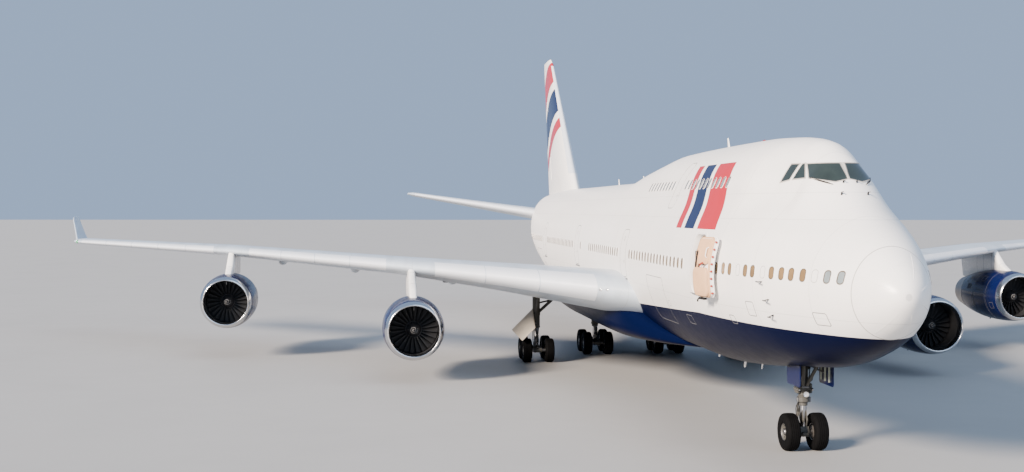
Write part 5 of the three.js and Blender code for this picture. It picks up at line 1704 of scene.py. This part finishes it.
def nose_gear_doors():
    """Two doors that hang beside the nose gear bay, with hinges and a link to the leg."""
    for side, word in SIDES:
        made = Shape()
        stations = np.linspace(6.60, 7.80, 12)
        x = side * NOSE_DOOR_X
        foot = [(s, 2.18) for s in stations[2:-2]]
        head = [(s, belly_of(NOSE_DOOR_X, s) - 0.004) for s in stations[::-1]]
        outline = np.array([(6.60, 2.24), (6.66, 2.18), *foot, (7.74, 2.18), (7.80, 2.24), *head])
        middle = outline.mean(0)
        layers = []
        for across, shrink in ((-0.02, 0.985), (-0.012, 1.0), (0.012, 1.0), (0.02, 0.985)):
            spread = middle + (outline - middle) * shrink
            layers.append(np.column_stack([np.full(len(spread), x + across), spread]))
        made.skin(layers, [0, 0, 0], ends=(0, -1))
        for s in (6.85, 7.2, 7.55):
            low, high = (x - side * 0.05 - 0.02, s - 0.02, 2.3), (x - side * 0.03 + 0.02, s + 0.02, 2.9)
            block(made, low, high, 1, 0.008)
        rod(made, (x - side * 0.03, 7.2, 2.55), (side * 0.12, NOSE["s"] - 0.1, 2.75), 0.025, 2, 12)
        make(f"nose_gear_door_skin_{word}", made, [NAVY_PAINT, PRIMER, STEEL_IN_PAINTED_SHADE],
             stands_for=[f"nose_gear_door_{word}"])


TRUCK_BEAM = (
    (-0.86, -0.07), (-0.80, -0.11), (-0.3, -0.09), (0.3, -0.09), (0.80, -0.11), (0.86, -0.07), (0.86, 0.07),
    (0.80, 0.11), (0.3, 0.10), (0.24, 0.22), (-0.24, 0.22), (-0.3, 0.10), (-0.80, 0.11), (-0.86, 0.07),
)


def truck_parts(made, x, s):
    """Beam, axle sleeves, brake rods and hoses of a four-wheel truck."""
    low, high = TYRE_RADIUS - TRUCK["beam"], TYRE_RADIUS + TRUCK["beam"]
    base = TRUCK["half_base"]
    plate(made, [(s + a, TYRE_RADIUS + b) for a, b in TRUCK_BEAM], x, 0.17, 0)
    crossbar(made, (x, s, high + 0.03), 0.16, 0.075, 1, 20)
    for end in (-1, 1):
        crossbar(made, (x, s + end * base, TYRE_RADIUS), 0.2, 0.115)
        for side in (-1, 1):
            across = x + side * 0.13
            ends = (across, s + end * 0.1, low - 0.05), (across, s + end * (base - 0.06), low - 0.02)
            rod(made, *ends, 0.022, 1, 10)
            hose = ((0.09, 0.2, high + 0.1), (0.14, 0.45, high + 0.02), (0.19, 0.62, TYRE_RADIUS + 0.1))
            pipe(made, [(x + side * out, s + end * along, z) for out, along, z in hose], 0.013, 2, 8)


# Height and radius of the wing leg
WING_LEG = ((1.68, 0.14), (1.68, 0.205), (1.74, 0.212), (1.76, 0.19), (2.3, 0.19), (2.32, 0.21),
            (2.44, 0.21), (2.46, 0.19), (4.2, 0.20))


def wing_gear_legs():
    """The two wing gear legs with their braces and trucks, which are one solid."""
    for side, word in SIDES:
        made = Shape()
        x, s = side * WING_GEAR["x"], WING_GEAR["s"]
        truck_parts(made, x, s)
        rod(made, (x, s, 0.72), (x, s, 1.95), 0.12, 3, 32)
        column(made, WING_LEG, x, s)
        rod(made, (x, s, 2.35), (x - side * 1.7, s, 3.9), 0.08, 0, 20)
        rod(made, (x, s, 2.1), (x, s - 1.7, 4.2), 0.075, 0, 20)
        rod(made, (x, s, 2.9), (x - side * 0.9, s, 3.1), 0.045, 0, 16)
        links(made, x, s - 0.12, 1.76, 0.9, -0.36)
        rod(made, (x + side * 0.16, s - 0.1, 1.9), (x + side * 0.1, s - 0.36, 0.78), 0.035, 1, 14)
        for across in (-0.14, 0.14):
            hose = [(x + across, s + 0.16, 3.4), (x + across, s + 0.2, 2.5),
                    (x + across * 1.2, s + 0.22, 1.8), (x + across, s + 0.3, 1.2),
                    (x + across * 0.8, s + 0.18, 0.8)]
            pipe(made, hose, 0.016, 2, 8)
        make(f"wing_gear_leg_detail_{word}", made, LEG_LOOKS,
             stands_for=[f"wing_gear_leg_{word}"])


# The slanting door on each wing leg: corners for port, then ends of its links and their heights on the leg
GEAR_DOOR_CORNERS = np.array([(5.70, 31.87, 2.64), (6.76, 31.87, 1.58), (6.397, 30.40, 1.173),
                              (5.74, 30.40, 1.83)])
GEAR_DOOR_THICK = 0.05
GEAR_DOOR_RIB = 0.028
GEAR_DOOR_LINKS = (((5.81, 31.76, 2.415), 2.42), ((5.83, 30.785, 1.87), 1.92))


def wing_gear_doors():
    """A bevelled panel on each wing leg, with ribs on its back and two links to the leg."""
    first = GEAR_DOOR_CORNERS[0]
    across = GEAR_DOOR_CORNERS[1] - first
    reach = np.linalg.norm(across)
    across /= reach
    back = np.cross(across, GEAR_DOOR_CORNERS[3] - first)
    back /= np.linalg.norm(back)
    frame = np.array([across, np.cross(back, across)])
    drawn = (GEAR_DOOR_CORNERS - first) @ frame.T
    for side, word in SIDES:
        made = Shape()

        def on_door(flat_point, depth):
            return (first + np.asarray(flat_point) @ frame + back * depth) * (side, 1, 1)

        layers = ((-0.015, 0.0), (0.0, 0.012), (0.0, GEAR_DOOR_THICK - 0.012), (-0.015, GEAR_DOOR_THICK))
        rings = [on_door(cornered(drawn, margin - 0.001), depth) for margin, depth in layers]
        made.skin(rings, [0, 0, 1], ends=(0, -1))
        inner = drawn + (drawn.mean(0) - drawn) * 0.12
        ribs = [(inner[start], inner[end]) for start, end in ((0, 1), (1, 2), (2, 3), (3, 0))]
        for share in (0.35, 0.68):
            head = inner[0] + (inner[3] - inner[0]) * share
            foot = inner[1] + (inner[2] - inner[1]) * share
            ribs.append((head, foot))
        for ends in ribs:
            rod(made, *(on_door(end, GEAR_DOOR_THICK) for end in ends), GEAR_DOOR_RIB, 1, 8)
        for end, height in GEAR_DOOR_LINKS:
            at = np.array(end) * (side, 1, 1)
            rod(made, at, (side * WING_GEAR["x"], WING_GEAR["s"], height), 0.04, 2, 16)
            pin = at + back * (side, 1, 1) * 0.07
            rod(made, pin - (0, 0.09, 0), pin + (0, 0.09, 0), 0.055, 2, 16)
        make(f"wing_gear_door_panel_{word}", made, [DOOR_TAN, PRIMER, STEEL_IN_PAINTED_SHADE],
             stands_for=[f"wing_gear_door_{word}"])


def body_gear():
    """The two body gear legs and, on bodies of their own, the trucks that steer."""
    for side, word in SIDES:
        x, s = side * BODY_GEAR["x"], BODY_GEAR["s"]
        front = BODY_BAY["front"] + 0.2
        leg = Shape()
        low = BODY_GEAR["swivel"]
        profile = [(low, 0.13), (low, 0.205), (low + 0.08, 0.212), (low + 0.1, 0.19), (2.2, 0.19),
                   (2.22, 0.21), (2.34, 0.21), (2.36, 0.19), (3.09, 0.19)]
        column(leg, profile, x, s)
        rod(leg, (x, s - 0.1, 1.95), (x, front, 2.9), 0.075, 0, 20)
        crossbar(leg, (x, s, 2.75), 0.5, 0.1)
        crossbar(leg, (x, front, 2.9), 0.5, 0.065, 0, 20)
        for across in (-0.15, 0.15):
            hose = [(x + across, s + 0.14, 3.0), (x + across, s + 0.19, 2.3), (x + across, s + 0.16, 1.7)]
            pipe(leg, hose, 0.016, 2, 8)
        make(f"body_gear_leg_detail_{word}", leg, LEG_LOOKS[:3],
             stands_for=[f"body_gear_leg_{word}"])
        truck = Shape()
        truck_parts(truck, x, s)
        rod(truck, (x, s, 0.72), (x, s, low - SEAM), 0.12, 3, 32)
        collar(truck, (x, s, low - 0.12), 0.17, 0.11)
        links(truck, x, s - 0.12, low - 0.08, 0.9, -0.3)
        node = f"body_gear_truck_{word}"
        make(f"{node}_detail", truck, LEG_LOOKS, node, [node])


def landing_gear():
    nose_gear_leg()
    nose_gear_steering()
    nose_gear_doors()
    wheel_pair("nose_wheels", 0, NOSE["s"], NOSE["half_track"])
    wing_gear_legs()
    wing_gear_doors()
    body_gear()
    for side, word in SIDES:
        for gear, row in (("wing", WING_GEAR), ("body", BODY_GEAR)):
            for place_word, end in (("front", -1), ("rear", 1)):
                axle = row["s"] + end * TRUCK["half_base"]
                node = f"{gear}_gear_wheels_{place_word}_{word}"
                wheel_pair(node, side * row["x"], axle, TRUCK["half_track"])


# Camera as the photo's was, in the model's metres, its focal length in pixels of the photo
SENSOR = 36.0
FOCAL_PIXELS = 1229.947
PHOTO_WIDTH = 1024
SHIFT_DOWN = -0.0021
FAR_CLIP = 2000.0
CAMERA_AT = (-6.7711, -32.7447, 3.8537)
YAW, PITCH, ROLL = 0.10918858, -0.0202254, 0.0013
FLOOR_REACH = 400.0
# Lamps: name, direction to the sun, energy, colour, spread in degrees
LAMPS = (
    ("key", (-0.80, -0.62, 0.46), 14.5, (1.0, 0.85, 0.72), 12),
    ("fill", (0.6, -0.8, 1.0), 1.6, (0.70, 0.84, 1.0), 60),
)
SKY = (0.43, 0.59, 0.88, 1.0)
SKY_STRENGTH = 0.85


def studio():
    data = bpy.data.cameras.new("camera")
    data.sensor_width = SENSOR
    data.lens = SENSOR * FOCAL_PIXELS / PHOTO_WIDTH
    data.shift_y = SHIFT_DOWN
    data.clip_end = FAR_CLIP
    camera = bpy.data.objects.new("camera", data)
    level = math.cos(PITCH)
    forward = Vector((math.sin(YAW) * level, math.cos(YAW) * level, math.sin(PITCH)))
    turn = forward.to_track_quat("-Z", "Y").to_matrix().to_4x4() @ Matrix.Rotation(ROLL, 4, "Z")
    camera.matrix_world = Matrix.Translation(CAMERA_AT) @ turn
    bpy.context.scene.collection.objects.link(camera)
    bpy.context.scene.camera = camera
    ground = bpy.data.meshes.new("floor")
    corners = [(x * FLOOR_REACH, y * FLOOR_REACH, 0) for x, y in ((-1, -1), (1, -1), (1, 1), (-1, 1))]
    ground.from_pydata(corners, [], [(0, 1, 2, 3)])
    floor = bpy.data.objects.new("floor", ground)
    pale = surface("pale floor", (0.31, 0.31, 0.305), 0.6, grain=0.15, relief=0.05, vary=0.03)
    ground.materials.append(pale)
    bpy.context.scene.collection.objects.link(floor)
    for name, direction, energy, colour, spread in LAMPS:
        light = bpy.data.lights.new(name, "SUN")
        light.energy = energy
        light.color = colour
        light.angle = math.radians(spread)
        lamp = bpy.data.objects.new(name, light)
        lamp.rotation_mode = "QUATERNION"
        lamp.rotation_quaternion = Vector(direction).to_track_quat("Z", "Y")
        bpy.context.scene.collection.objects.link(lamp)
    world = bpy.data.worlds.new("studio")
    bpy.context.scene.world = world
    world.use_nodes = True
    background = world.node_tree.nodes["Background"]
    background.inputs["Color"].default_value = SKY
    background.inputs["Strength"].default_value = SKY_STRENGTH


fuselage()
windscreen()
wipers_and_probes()
antennas()
doorway_trim()
open_door()
for side, word in SIDES:
    cabin_windows(side, word)
    skin_doors(side, word)
fairing()
wings()
tail()
for engine in ENGINES:
    nacelle(*engine)
    cowl_fittings(*engine)
    fan(*engine)
    engine_core(*engine)
    pylon(*engine)
landing_gear()
studio()
